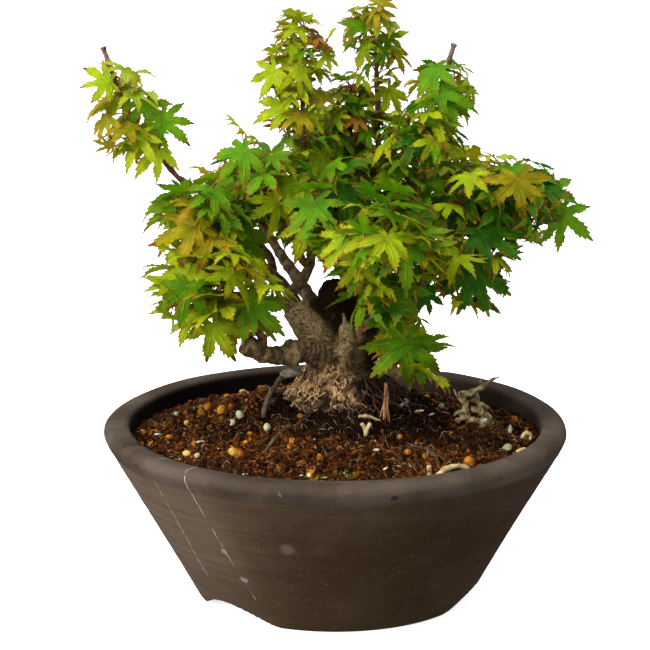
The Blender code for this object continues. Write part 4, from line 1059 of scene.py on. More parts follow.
# Chips and flakes: x, y, lift, half length, half width and half thickness in mm, turn and
# tilt in degrees, and 1 for grey-white or 0 for pale yellow.
CHIPS = (
    (77, -38, 1.8, 4.4, 2.3, 0.9, 28, 20, 0), (74.7, -12, 2.6, 2.6, 1.2, 0.8, 80, 75, 1),
    (63, -8, 2.6, 3.4, 1.5, 1.4, -28, 15, 1), (16.9, -56, 1.2, 2.2, 0.9, 0.8, 8, 0, 1),
    (28.4, -10, 1.6, 1.9, 1.3, 0.8, 30, 35, 1), (35.6, -14, 1.6, 2.8, 1.1, 0.8, -8, 10, 0),
    (41, -13, 1.4, 2.0, 0.9, 0.6, 25, 10, 1), (-57, -34, 1.2, 2.4, 1.0, 0.6, 5, 5, 1),
    (-76, -13.5, 1.2, 1.9, 0.9, 0.6, 12, 0, 1), (-37, -74, 0.9, 1.7, 0.9, 0.5, 5, 0, 1),
    (-14.6, -77, 0.9, 2.0, 1.1, 0.6, 10, 10, 1), (84, -8, 1.0, 1.5, 0.8, 0.5, 60, 20, 1),
    (-5, -79, 0.8, 2.0, 0.9, 0.6, -12, 8, 0), (20, -68, 1.0, 1.8, 0.8, 0.5, 40, 10, 0),
)


# Green moss by the front of the rim: how many crumbs, and between which x and which y in mm.
MOSS_CRUMBS = 90
MOSS_BETWEEN = ((-13, 9), (-82, -76))


def make_grains():
    """A layer of grains over the mound, the larger granules on it, flakes and green moss."""
    for seed, (name, count, size, dark, light) in enumerate(GRAINS):
        rng = np.random.default_rng(100 + seed)
        sizes = (size[0] + (size[1] - size[0]) * rng.random(count) ** 1.8) * MM
        look = soil_look("of_" + name, dark, light, tuple(c * 1.3 for c in light), 500)
        # Painted shade: the dark grains crowd into the shadow by the trunk's foot, and the paler
        # kinds keep out of it.
        shade_crowding = 0.7 if name == "dark_grains" else -0.9
        places = scattered(rng, count, patches=seed, shade_crowding=shade_crowding)
        places[:, 2] += sizes * 0.2
        grains(name, places, sizes, look, 200 + seed)
    places = np.array(GRANULES)
    x, y, size = places[:, 0] * MM, places[:, 1] * MM, places[:, 2] * MM
    spots = np.stack([x, y, soil_height(x, y) + size * 0.55], axis=-1)
    for kind, (name, *tones) in enumerate(GRANULE_KINDS):
        pick = places[:, 3] == kind
        look = soil_look("of_" + name, *tones, 300)
        obj = grains(name, spots[pick], size[pick], look, 300 + kind, 0.85, 0.12)
        rounded(obj)
        obj.data.shade_smooth()
    make_chips()
    rng = np.random.default_rng(377)
    x, y = (rng.uniform(*ends, MOSS_CRUMBS) * MM for ends in MOSS_BETWEEN)
    sizes = rng.uniform(0.3, 0.9, MOSS_CRUMBS) * MM
    moss = soil_look("green_moss", (0.018, 0.030, 0.004), (0.085, 0.130, 0.014), (0.16, 0.18, 0.03))
    grains("moss", np.stack([x, y, soil_top(x, y) + 0.4 * MM], axis=-1), sizes, moss, 378)


def make_chips():
    """Flakes: a lump scaled to each chip's sizes, tilted about its width and turned."""
    corners, faces = rounded_lump()
    rng = np.random.default_rng(355)
    for tone, name, tones in (
            (0, "yellow_flakes", ((0.42, 0.33, 0.13), (0.66, 0.56, 0.30), (0.36, 0.22, 0.08))),
            (1, "grey_flakes", ((0.22, 0.20, 0.14), (0.50, 0.48, 0.38), (0.30, 0.24, 0.15)))):
        meshes = []
        for x, y, lift, length, width, thick, turn, tilt, kind in CHIPS:
            if kind != tone:
                continue
            shape = corners * (1 + 0.22 * rng.uniform(-1, 1, (12, 1))) * mm(length, width, thick)
            pose = (Matrix.Rotation(math.radians(turn), 3, "Z")
                    @ Matrix.Rotation(-math.radians(tilt), 3, "Y"))
            base = np.array((x * MM, y * MM, soil_height(x * MM, y * MM) + lift * MM))
            meshes.append((shape @ np.array(pose).T + base, [faces]))
        rounded(piece(name, *join(meshes), soil_look("of_" + name, *tones, 400), "soil"))


def wandering(rng, starts, headings, count, step, bend):
    """Paths that wander over the soil: each step turns by a random angle of up to `bend`, and
    z follows the soil, with a low arch in the middle."""
    paths = [starts]
    turn = headings
    for _ in range(count - 1):
        turn = turn + rng.uniform(-bend, bend, len(starts))
        ahead = np.stack([np.cos(turn), np.sin(turn), np.zeros(len(starts))], axis=-1)
        paths.append(paths[-1] + ahead * step[:, None])
    paths = np.stack(paths, axis=1)
    ground = soil_top(paths[..., 0], paths[..., 1])
    arch = np.sin(np.linspace(0, math.pi, count))
    paths[..., 2] = ground + arch * rng.uniform(0.2, 1.5, len(starts))[:, None] * MM
    return paths


FIBRES = 620
SURFACE_ROOTS = 34
FRONT_ROOTS = 22


def make_fibres():
    """Fine root fibres on the soil, and thicker roots that run down from the trunk's flare."""
    rng = np.random.default_rng(411)
    look = wood_look("root_fibre", (0.16, 0.085, 0.040), (0.44, 0.29, 0.16), pitch=700)
    count = FIBRES
    starts = scattered(rng, count, 24, 84)
    step = rng.uniform(0.45, 1.1, count) * MM
    paths = wandering(rng, starts, rng.uniform(0, 2 * math.pi, count), 8, step, 0.9)
    radii = rng.uniform(0.06, 0.14, (count, 1)) * MM * np.linspace(1, 0.5, 8)
    piece("fine_roots", *tubes(paths, radii, 4), look, "bark")
    count = SURFACE_ROOTS
    turn = rng.uniform(0, 2 * math.pi, count)
    turn[:FRONT_ROOTS] = np.radians(rng.uniform(-110, 20, FRONT_ROOTS))
    inner = rng.uniform(20, 26, count) * MM
    starts = np.stack([TRUNK_CENTRE[0] + inner * np.cos(turn),
                       TRUNK_CENTRE[1] + inner * 0.85 * np.sin(turn), np.zeros(count)], axis=-1)
    step = rng.uniform(1.0, 2.2, count) * MM
    paths = wandering(rng, starts, turn, 10, step, 0.8)
    paths[..., 2] += rng.uniform(0, 4, count)[:, None] * MM * np.linspace(1, 0, 10) ** 2
    radii = rng.uniform(0.2, 0.5, (count, 1)) * MM * np.linspace(1, 0.35, 10)
    dark = wood_look("surface_root", (0.030, 0.014, 0.008), (0.15, 0.080, 0.040), pitch=800)
    piece("surface_roots", *tubes(paths, radii, 6), dark, "bark")
    make_root_pieces()
    make_strands(rng)


# Loose roots and dead twigs: kind, places as x, y and height over the soil in mm, radii.
ROOT_PIECES = (
    ("mossy", ((56.2, -4, -1), (56.6, -3.5, 4), (55.2, -3, 8), (54, -2.5, 11.8)), (2.3, 1.9, 1.5)),
    ("mossy", ((64.5, -3, -1), (63.8, -2, 4), (61.6, -1.5, 9), (61, -1.5, 13.4)), (2.4, 1.6, 1.3)),
    ("mossy", ((53, -2.5, 11.2), (59.3, -2, 13), (64, -2, 17), (68, -2, 20.5), (70.6, -2, 21.5)),
     (1.5, 1.3, 0.9, 0.3)),
    ("mossy", ((52, -7, -0.5), (55, -8, 3), (60, -8.5, 2.5), (64, -8, -0.5)), (1.8, 2.2, 1.5)),
    ("mossy", ((57, -1, 3), (59.5, -2, 5.5), (63, -2, 6)), (1.6, 1.9, 1.5)),
    ("mossy", ((50, -5, -0.5), (52, -4, 2.5), (54.5, -4, 3.5), (56, -3, 6)), (1.0, 1.5, 1.0)),
    ("mossy", ((62, -3, 9), (65, -4, 8.5), (67.5, -5, 6.5)), (1.0, 0.8, 0.3)),
    ("mossy", ((55.5, -2.5, 8), (52.5, -2, 9.5), (51, -2, 12)), (1.0, 0.7, 0.3)),
    ("mossy", ((61.5, -2, 11), (57.5, -4, 9.5), (56, -5, 7)), (0.8, 0.7, 0.5)),
    ("mossy", ((66, -6, -0.5), (67, -6, 3.5), (65.5, -5, 6)), (1.1, 0.9, 0.5)),
    ("mossy", ((63.5, -2, 16.5), (62, -2, 19), (62.5, -2.5, 20.5)), (0.7, 0.5, 0.2)),
    ("pale", ((37.9, -71, -1), (38.3, -70.5, 2.2), (37.9, -70.5, 4.8)), (1.4, 1.1, 1.0)),
    ("pale", ((40, -72, -0.5), (43, -70.5, 2.2), (47.5, -68, 3.2), (52, -66.5, 2.6), (56, -65, 0)),
     (1.6, 1.4, 0.8)),
    ("pale", ((79.5, -19, -0.5), (79.8, -19, 2.9), (81.5, -19, 5.0), (83.6, -19, 4.0),
              (83.0, -19, 2.2)), (1.0, 0.9, 0.7)),
    ("pale", ((10, -29, 0.5), (14, -30, 1.8), (20, -31, 1.0)), (1.3, 0.6, 0.5)),
    ("pale", ((12.6, -40.5, -0.5), (12.4, -40.5, 2.0), (10.8, -40, 4.4)), (0.9, 0.8, 1.0)),
    ("pale", ((12.6, -40.5, -0.5), (13.0, -40.5, 2.5), (14.4, -40.5, 5.0)), (0.9, 0.7, 0.8)),
    ("dead", ((-30.8, -20, -0.5), (-29, -17, 5.5), (-24.8, -12.5, 11.2), (-22, -10.5, 14.2)),
     (1.0, 1.1, 1.25)),
    ("dead", ((-19.2, -31.5, 0.3), (-25, -44, 0.9), (-30.5, -55, 0.3)), (1.1, 0.9, 0.6)),
    ("dead", ((30, -44, 0.3), (39, -50, 1.2), (47, -60, 0.3)), (0.6, 0.5, 0.35)),
    ("knob", ((-23.4, -10.6, 13.6), (-19, -10.4, 14.8), (-14.5, -9.5, 14.2)), (1.5, 2.0, 1.3)),
)


def make_root_pieces():
    """Loose roots that stand and lie on the soil: rough tapering tubes on smooth curves."""
    noise = Noise(76)
    looks = {
        "mossy": wood_look("mossy_root", (0.085, 0.058, 0.022), (0.36, 0.29, 0.135),
                           (0.02, 0.012, 0.005), 900),
        "pale": wood_look("pale_root", (0.22, 0.15, 0.065), (0.50, 0.39, 0.20),
                          (0.10, 0.05, 0.02), 600),
        "dead": wood_look("dead_twig", (0.030, 0.018, 0.010), (0.105, 0.070, 0.045), pitch=700),
        "knob": wood_look("grey_knob", (0.085, 0.060, 0.043), (0.27, 0.21, 0.165), pitch=700),
    }
    for kind, look in looks.items():
        skins = []
        for some, places, radii in ROOT_PIECES:
            if some == kind:
                x, y, lift = np.array(places, float).T * MM
                limb = Limb(np.stack([x, y, soil_height(x, y) + lift], axis=-1),
                            mm(*radii) * (0.72 if kind == "mossy" else 1.0))
                rough = 0.80 if kind == "mossy" else 0.22
                skins.append(limb_skin(limb, 16, 0.45 * MM, rough, noise))
        piece(kind + "_roots", *join(skins), look, "bark")


STRANDS = 150
HANGING_STRANDS = 60
HUNG_ROOTS = 9


def make_strands(rng):
    """Root strands that cling to the trunk's foot and hang from it on the shaded side.

    height(t) = top (1 - t) and turn(t) = turn + drift t + 0.1 sin(7 t + phase); each runs
    just outside the trunk's oval at its height, and the hanging ones stand out at their feet.
    """
    count, hanging = STRANDS, HANGING_STRANDS
    share = np.linspace(0, 1, 12)
    turn = rng.uniform(0, 2 * math.pi, count)
    turn[:hanging] = np.radians(rng.uniform(-62, 35, hanging))
    top = rng.uniform(4, 15, count)
    drift = rng.uniform(-0.35, 0.35, count)
    phase = rng.uniform(0, 6, count)
    turns = turn[:, None] + drift[:, None] * share + 0.1 * np.sin(7 * share + phase[:, None])
    heights = top[:, None] * (1 - share) - 1.5 * share
    out = rng.uniform(0.1, 0.9, (count, 1)) + np.zeros(12)
    out[:hanging] += rng.uniform(0.5, 5.0, (hanging, 1)) * np.sin(math.pi * share**0.8 * 0.7)
    paths = on_trunk(heights, turns, out)
    paths += rng.normal(0, 0.25, paths.shape) * MM
    radii = rng.uniform(0.16, 0.5, (count, 1)) * MM * np.linspace(1, 0.55, 12)
    tan = wood_look("tan_strand", (0.16, 0.080, 0.034), (0.52, 0.33, 0.16), pitch=700)
    # Painted shade: strands round the shaded side take this dark copy of the tan strands' colour.
    shaded_strand_look = wood_look("shaded_strand", (0.012, 0.005, 0.003), (0.085, 0.038, 0.018), pitch=700)
    lit = (np.cos(turn) < 0.25) & (np.arange(count) >= hanging)
    piece("tan_strands", *tubes(paths[lit], radii[lit], 5), tan, "bark")
    piece("hanging_strands", *tubes(paths[~lit], radii[~lit], 5), shaded_strand_look, "bark")
    count = HUNG_ROOTS
    drop = np.linspace(0, 1, 9)
    foot = rng.uniform(-3.2, 3.2, (count, 1))
    x = 21.5 + foot * drop**2 + 0.5 * np.sin(5 * drop + rng.uniform(0, 6, (count, 1)))
    y = -15 - 14 * drop + rng.uniform(-0.8, 0.8, (count, 1))
    z = 96 - 13.2 * drop + 1.2 * np.sin(3 * drop)
    hung = np.stack([x, y, np.broadcast_to(z, x.shape)], axis=-1) * MM
    radii = rng.uniform(0.28, 0.45, (count, 1)) * MM * np.linspace(1, 0.6, 9)
    ruddy = wood_look("ruddy_root", (0.15, 0.050, 0.022), (0.46, 0.25, 0.11), pitch=700)
    piece("hung_roots", *tubes(hung, radii, 6), ruddy, "bark")


# Trunk ------------------------------------------------------------------------------------

TRUNK_TURNS = 140
TRUNK_RINGS = 90
ROOT_RIDGES = 5
SKIN_GRAIN = 0.55 * MM
# The old stump's swollen sides, dark and fuzzy, between the arms: places and radii in mm.
BURLS = (
    (((-1, 3, 106), (0, 5, 121), (0.5, 7, 135)), (9.5, 9.5, 6.0)),
    (((8, 4, 106), (10, 6, 118), (8, 8, 132)), (9.0, 7.5, 4.5)),
)


def on_trunk(heights, turns, out=0.0):
    """Places round the trunk at heights in mm above its foot, `out` mm outside its skin.

    radius = oval(height) (1 + 0.075 flare sin(5 turn + 0.7)) where flare fades over 16 mm.
    """
    levels, widths, depths = np.array(TRUNK_SECTIONS).T
    ridge = 1 + 0.075 * np.clip(1 - heights / 16, 0, 1) * np.sin(ROOT_RIDGES * turns + 0.7)
    wide, deep = (np.interp(heights, levels, sizes) * ridge + out for sizes in (widths, depths))
    return np.stack([TRUNK_CENTRE[0] + np.cos(turns) * wide * MM,
                     TRUNK_CENTRE[1] + np.sin(turns) * deep * MM,
                     TRUNK_FOOT + heights * MM], axis=-1)


def trunk_column():
    """The trunk: ovals stacked from below the soil's top, with ridges towards the roots."""
    heights = np.linspace(TRUNK_SECTIONS[0][0], TRUNK_SECTIONS[-1][0], TRUNK_RINGS)
    turns = np.linspace(0, 2 * math.pi, TRUNK_TURNS, endpoint=False)
    rings = on_trunk(*np.meshgrid(heights, turns, indexing="ij"))
    points = np.vstack([rings.reshape(-1, 3), rings[0].mean(0), rings[-1].mean(0)])
    return points, [grid_faces(TRUNK_RINGS, TRUNK_TURNS), end_caps(TRUNK_RINGS, TRUNK_TURNS)]


def make_trunk(limbs):
    """Trunk, arms and burls as one skin: closed tubes run together by remeshing.

    Each point is then moved along its normal by trunk_relief(), and trunk_fields() colours it.
    """
    noise = Noise(73)
    burls = [Limb(mm(*places), mm(*radii)) for places, radii in BURLS]
    skins = [limb_skin(limbs[name], 40, 0.8 * MM, 0.05, noise) for name, *_ in ARMS]
    skins += [limb_skin(burl, 32, 0.8 * MM, 0.10, noise) for burl in burls]
    obj = piece("trunk_bark", *join([trunk_column(), *skins]), bark_look(), "bark",
                stands_for=("trunk",))
    remesh = obj.modifiers.new("Run together", "REMESH")
    remesh.mode = "VOXEL"
    remesh.voxel_size = SKIN_GRAIN
    soften = obj.modifiers.new("Soften", "SMOOTH")
    soften.iterations = 7
    soften.factor = 0.6
    graph = bpy.context.evaluated_depsgraph_get()
    whole = bpy.data.meshes.new_from_object(obj.evaluated_get(graph))
    obj.modifiers.clear()
    obj.data = whole
    count = len(whole.vertices)
    points, normals = np.empty((2, count * 3))
    whole.vertices.foreach_get("co", points)
    whole.vertices.foreach_get("normal", normals)
    points, normals = points.reshape(-1, 3), normals.reshape(-1, 3)
    gaps = {name: limbs[name].clearance(points) for name, *_ in ARMS}
    gaps["stump"] = np.min([gaps["stump"], *(burl.clearance(points) for burl in burls)], axis=0)
    near = {name: np.clip(1 - gaps[name] / (3 * MM), 0, 1) for name in gaps}
    low = np.clip((104 * MM + 5 * MM * noise.at(points, 12 * MM) - points[:, 2]) / (5 * MM), 0, 1)
    relief, cracks, band_dark = trunk_relief(points, noise, near, low, limbs["low_arm"])
    points = points + normals * (relief * MM)[:, None]
    whole.vertices.foreach_set("co", points.astype(np.float32).ravel())
    for name, values in trunk_fields(points, noise, near, low, cracks, band_dark).items():
        layer = whole.attributes.new(name, "FLOAT", "POINT")
        layer.data.foreach_set("value", values.astype(np.float32))
    whole.shade_smooth()
    whole.update()


def trunk_relief(points, noise, near, low, arm):
    """How far the bark stands out in mm, how near each point is to a crack, and how deep it
    lies between the foot's bands.

    relief = 0.42 plates - 1.1 cracks + 0.16 grain; on the corky foot, 0.85 bands across it,
    0.9 strands that run up it and 0.9 lumps more; rings round the low arm; a fuzzy old stump.
    """
    upright = points * np.array((1.0, 1.0, 0.42))
    level = points * np.array((0.5, 0.5, 1.5))
    cracks = np.abs(noise.rough(upright, 3.0 * MM, 3))
    plates = noise.rough(points, 6.0 * MM, 3)
    grain = noise.rough(points * np.array((1.0, 1.0, 1.8)), 1.3 * MM, 2)
    lumps = noise.rough(points + 31 * MM, 10 * MM, 2)
    bands = noise.rough(level, 3.2 * MM, 3)
    strands = 0.4 - np.abs(noise.rough(upright + 17 * MM, 2.4 * MM, 3))
    run = (points - arm.points[0]) @ unit(arm.points[-1] - arm.points[0])
    rings = np.cos(2 * math.pi * run / (2.9 * MM) + 2.5 * noise.at(points, 6 * MM))
    relief = 0.42 * plates - 1.1 * np.clip(0.26 - cracks, 0, 1) + 0.16 * grain
    relief += low * (0.85 * bands + 0.9 * strands + 0.9 * lumps) + 0.28 * rings * near["low_arm"]
    fuzzy = np.clip((points[:, 2] - 112 * MM) / (4 * MM), 0, 1) * near["stump"]
    fuzzy = fuzzy * (1 - np.maximum(near["left_arm"], near["front_arm"]))
    relief += fuzzy * (0.9 * lumps + 0.6 * strands + 0.5 * grain)
    return relief, cracks, low * np.clip(-0.25 - bands - 0.6 * strands, 0, 0.5) * 2


def trunk_fields(points, noise, near, low, cracks, band_dark):
    """Where the bark is corky, pale, mossy and shaded, each from 0 to 1.

    Pale limbs stand out from the dark stump and the dark right side. Shaded are that side, the
    foot, the hollow behind the front arm, the stump, the cracks and between the foot's bands.
    """
    height = points[:, 2]
    above = np.clip((height - 110 * MM) / (5 * MM), 0, 1)
    pale = np.maximum.reduce([near["left_arm"], near["front_arm"], near["snag"],
                              0.28 * near["low_arm"], 0.3 * near["right_arm"]])
    pale = pale * np.clip((height - 103 * MM) / (6 * MM), 0, 1) * (1 - 0.9 * near["stump"] * above)
    wander = 6 * MM * noise.at(points, 9 * MM)
    # Painted shade down the right side, and less cork there.
    right = np.clip((points[:, 0] - 5 * MM + wander) / (6 * MM), 0, 1)
    right = right * np.clip((114 * MM - height) / (7 * MM), 0, 1)
    right = right * np.clip((12 * MM - points[:, 1]) / (10 * MM), 0.35, 1)
    foot = np.clip((91 * MM - height + wander) / (3 * MM), 0, 1)
    hollow_shade = np.clip(1.3 - np.linalg.norm((points - mm(1, -7, 117)) / mm(6, 6, 8), axis=1), 0, 1)
    stump = near["stump"] * above * (0.72 + 0.30 * noise.at(points, 7 * MM))
    stump = stump * np.where(near["front_arm"] + near["snag"] > 0.2, 0.3, 1.0)
    crack_dark = np.clip((0.13 - cracks) * 7, 0, 1)
    # Painted shade, as a field that the bark's look darkens by.
    shade = np.maximum.reduce([0.98 * right, 0.85 * foot, 0.85 * hollow_shade, 0.93 * stump,
                               0.8 * crack_dark * (1 - 0.6 * pale), 0.8 * band_dark])
    moss = np.clip(1.4 - np.linalg.norm((points - mm(-1, -14, 112)) / mm(7, 6, 7), axis=1), 0, 1)
    return {"cork": low * (1 - 0.8 * right), "pale": pale, "moss": moss,
            "shade": np.clip(shade, 0, 0.98)}


def make_boughs(limbs):
    """The boughs' bark: one skin for each, sunk a little into the limb it grows from."""
    noise = Noise(74)
    thick = [name for name, *_ in BOUGHS if limbs[name].radii[0] > 2.3 * MM]
    thin = [name for name, *_ in BOUGHS if name not in thick]
    old = wood_look("grey_bark", (0.065, 0.036, 0.017), (0.25, 0.165, 0.082), pitch=900)
    young = wood_look("brown_bark", (0.060, 0.029, 0.014), (0.21, 0.118, 0.058), pitch=1100)
    for label, names, rough, look, slot in (("bough_bark", thick, 0.10, old, "bark"),
                                            ("young_bough_bark", thin, 0.07, young, "young_bark")):
        skins = [limb_skin(limbs[name], 18, 0.7 * MM, rough, noise,
                           sink=1.5 * MM, flare=0.35, nodes=0.14) for name in names]
        piece(label, *join(skins), look, slot, stands_for=names)


# Foliage ----------------------------------------------------------------------------------

# Sky that shows through and round the crown from the front: x, z and radius in mm where the
# line of sight from the eye crosses the plane y = 0.
OPEN_SKY = (
    (-53, 196, 10.0), (-89, 174, 9.6), (-90, 126, 10.0), (70, 202, 10.0), (83, 195, 5.0),
    (54, 121, 6.2), (57, 107, 6.2), (86, 139, 7.1), (81, 132, 5.0), (-22, 143, 6.2),
    (25, 213, 3.8), (-14, 206, 3.3), (-5, 252, 3.8), (-86, 232, 4.2), (-5, 231, 2.9),
    (-27, 198, 3.8), (-59, 137, 2.5), (46, 123, 7.5), (53, 100, 7.1), (66, 135, 2.9),
    (-30, 147, 2.5), (-67, 190, 3.8),
)
EYE = mm(-4.5, -1166, 400.8)

# Space kept clear, and the ways that a leaf may hang. Pairs are the least and the most.
SPRAY_GAP = 0.7 * MM
SEAM = 7 * MM
SOIL_GAP = 3 * MM
LEAF_TRIES = 20
LEAF_CHOICES = 3
MOST_LEAVES = 6000
LEAVES_MEET = 32 * MM
STALK_LENGTH = (0.38, 0.80)
# A spray whose last leaves are this small has a bare twig's end: how long that is, and how
# far along the stem its leaves go.
LEAST_TIP_LEAF = 10
BARE_END = 14 * MM
BARE_FROM = 0.80
# How far the middle lobe may point above the level, in degrees: along a shoot and at its tip.
HANGING = (-76, 18)
RISING = (-35, 55)

# A leaf's outline as (turn from the middle lobe in degrees, reach in leaf lengths), one side.
TRIAL_LEAF = ((20, 0.38), (41, 0.93), (62, 0.33), (84, 0.76), (106, 0.24), (128, 0.44), (150, 0.10))


class Leaf(NamedTuple):
    """A leaf: its stalk's root, its blade's foot, the way of its middle lobe, normal, size."""

    root: np.ndarray
    foot: np.ndarray
    ahead: np.ndarray
    normal: np.ndarray
    size: float


TRIAL_EDGE = [(0, 1.0), *TRIAL_LEAF, *((-turn, reach) for turn, reach in reversed(TRIAL_LEAF))]
TRIAL_TURN, TRIAL_REACH = (np.array(values)[:, None] for values in zip(*TRIAL_EDGE))
TRIAL_AHEAD = np.cos(np.radians(TRIAL_TURN)) * TRIAL_REACH
TRIAL_SIDE = np.sin(np.radians(TRIAL_TURN)) * TRIAL_REACH
TRIAL_DROOP = 0.24 * TRIAL_REACH**2
LOBE_TIPS = (0, 2, 4, 6, 9, 11, 13)
# Blades may overlap by their outermost parts: this share of each one's size is kept apart.
KEPT_APART = 0.70


def leaf_outline(leaf):
    """The tips and sinuses of a blade that droops towards its edge, for trials."""
    side = crossed(leaf.normal, leaf.ahead)
    return leaf.foot + leaf.size * (leaf.ahead * TRIAL_AHEAD + side * TRIAL_SIDE
                                    - leaf.normal * TRIAL_DROOP)


def shell_faces():
    """The faces of a trial blade: its edge joined to a point above and one below."""
    count = len(TRIAL_EDGE)
    faces = []
    for i in range(count):
        j = (i + 1) % count
        faces += [(i, j, count), (j, i, count + 1)]
    return faces


SHELL_FACES = shell_faces()


def leaf_shell(leaf):
    """A thin closed blade for trials."""
    outline = leaf_outline(leaf._replace(size=leaf.size * KEPT_APART))
    lift = leaf.normal * 0.3 * MM
    points = np.vstack([outline, leaf.foot + lift, leaf.foot - lift])
    return BVHTree.FromPolygons(points.tolist(), SHELL_FACES)


def leaf_middle(leaf):
    """A place on a blade that stands for it where leaves are spaced."""
    return leaf.foot + leaf.ahead * leaf.size * 0.3


def across(along, turn):
    """A direction square to `along`, turned about it."""
    flat = np.array((along[1], -along[0], 0.0))
    flat = unit(flat) if np.linalg.norm(flat) > 0.05 else np.array((1.0, 0.0, 0.0))
    return flat * math.cos(turn) + crossed(along, flat) * math.sin(turn)


def place_leaf(rng, root, out, along, size, rise):
    """A leaf on a stalk that leaves its twig outwards; its blade opens on from the stalk.

    The middle lobe points away from the crown's axis and up or down by an angle between the
    two of `rise`. The blade is square to that in the upright plane, then turned a little.
    """
    stalk = unit(out + along * rng.uniform(0.1, 0.9) + UP * rng.uniform(-0.35, 0.35))
    foot = root + stalk * size * rng.uniform(*STALK_LENGTH)
    away = np.array((foot[0], foot[1] - 8 * MM, 0.0))
    away = away / (np.linalg.norm(away) + 12 * MM)
    facing = FRONT * (0.45 if foot[1] < 12 * MM else 0.0)
    level = stalk * 0.8 + away * 0.5 + facing
    level += np.array([rng.uniform(-0.5, 0.5), rng.uniform(-0.5, 0.5), 0.0])
    level[2] = 0
    level = unit(level)
    angle = math.radians(rng.uniform(*rise))
    ahead = level * math.cos(angle) + UP * math.sin(angle)
    normal = UP * math.cos(angle) - level * math.sin(angle)
    normal = normal + crossed(normal, ahead) * rng.uniform(-0.7, 0.7)
    return Leaf(root, foot, ahead, unit(normal), size)


def in_sky(probes):
    """True where a probe stands in front of or behind a patch of open sky."""
    share = EYE[1] / (EYE[1] - probes[:, 1])
    x, z = (EYE[i] + (probes[:, i] - EYE[i]) * share for i in (0, 2))
    gap_x, gap_z, radius = np.array(OPEN_SKY).T * MM
    return (np.hypot(x[:, None] - gap_x, z[:, None] - gap_z) < radius).any()


class Crown:
    """All the limbs and leaves made so far, which every new twig and leaf keeps clear of."""

    def __init__(self, limbs):
        self.stems = {}
        for spray in SPRAYS:
            start = tip_start(limbs[spray.bough])
            self.stems[spray.name] = Limb([*start, *mm(*spray.stem)], mm(*spray.radii))
        self.wood = Wood(list(limbs.values()))
        self.stem_wood = Wood(list(self.stems.values()))
        self.names = list(self.stems)
        self.middles = np.full((MOST_LEAVES, 3), 9.0)
        self.shells, self.leaves, self.shoots = [], [], []

    def room_for(self, spray, probes):
        """True where the probes lie inside the spray's space and clear of limb and soil."""
        x, y, z = probes.T
        if (z < RIM_HEIGHT + SOIL_GAP).any() or (z < soil_height(x, y) + SOIL_GAP).any():
            return False
        if (self.wood.clearances(probes) < SPRAY_GAP).any() or in_sky(probes):
            return False
        gaps = self.stem_wood.clearances(probes)
        number = self.names.index(spray.name)
        own = self.stems[spray.name]
        reach = np.interp(self.share_along(own, probes),
                          np.linspace(0, 1, len(spray.reach)), mm(*spray.reach))
        distance = gaps[:, number]
        if (distance > reach).any():
            return False
        others = np.delete(gaps, number, axis=1)
        return not ((others < SPRAY_GAP).any() or (distance[:, None] - others > SEAM).any())

    @staticmethod
    def share_along(stem, probes):
        """How far along a stem, as a share of it, the point nearest to each probe is."""
        gaps = ((probes[:, None] - stem.points) ** 2).sum(axis=-1)
        return stem.along[gaps.argmin(axis=1)] / stem.length

    def squares_from(self, middle):
        """The squares of the distances from the leaves' middles to a place."""
        return ((self.middles[:len(self.shells)] - middle) ** 2).sum(axis=1)

    def meets(self, shell, middle):
        """True where a blade would cut another near it, in this spray or in any other."""
        near = np.flatnonzero(self.squares_from(middle) < LEAVES_MEET**2)
        return any(shell.overlap(self.shells[i]) for i in near)

    def spacing(self, middle):
        """How far the nearest leaf's middle is, or a metre where there is no leaf yet."""
        return math.sqrt(self.squares_from(middle).min()) if self.shells else 1.0

    def add_leaf(self, spray, leaf, shell, middle):
        self.middles[len(self.shells)] = middle
        self.shells.append(shell)
        self.leaves.append((spray.name, leaf))


# The large leaves that face the front, placed before the rest: spray, blade's foot in mm, turn
# of the middle lobe in the upright plane and its lean forwards in degrees, length in mm, tint.
STARS = (
    ("right", (75, -22, 186), -85, 15, 19, 3),
    ("right", (60, -24, 164), -35, 25, 21, 2),
    ("right", (89, -14, 180), -60, 10, 18, 1),
    ("right_low", (57, -34, 149), -70, 10, 22, 2),
    ("centre_front", (16, -54, 169), -95, 5, 21, 1),
    ("centre_front", (26, -50, 146), -103, 10, 18, 1),
    ("low_right", (29, -40, 121), -87, 8, 22, 1),
    ("right_top", (42, -10, 221), -20, 20, 18, 1),
    ("far_left", (-94, -14, 225), 185, 10, 15, 0),
    ("far_left", (-72, -15, 210), -50, 10, 15, 1),
    ("far_left", (-73, -14, 197), -140, 10, 15, 0),
    ("left_leader", (-20, -6, 213), -165, 10, 16, 0),
    ("left_shoulder", (-37, -24, 198), -140, 15, 17, 1),
    ("left_leader", (-16, -20, 184), -110, 15, 17, 0),
    ("left_shoulder", (-58, -32, 168), -160, 15, 20, 3),
    ("left_low", (-51, -38, 128), -62, 10, 19, 0),
    ("left_low", (-60, -40, 152), -120, 15, 20, 0),
    ("left_low", (-38, -37, 138), -48, 10, 20, 1),
    ("centre", (-11, -26, 168), -120, 12, 16, 0),
    ("right", (94, -12, 170), -78, 5, 20, 1),
    ("left_leader", (-25, -7, 229), -118, 5, 15, 0),
    ("right_leader", (13, 14, 245), 165, 5, 12, 1),
    ("centre_front", (36, -44, 143), -70, 5, 13, 2),
    ("left_low", (-35, -42, 137), -42, 5, 17, 1),
)
STAR_STALK = 9 * MM


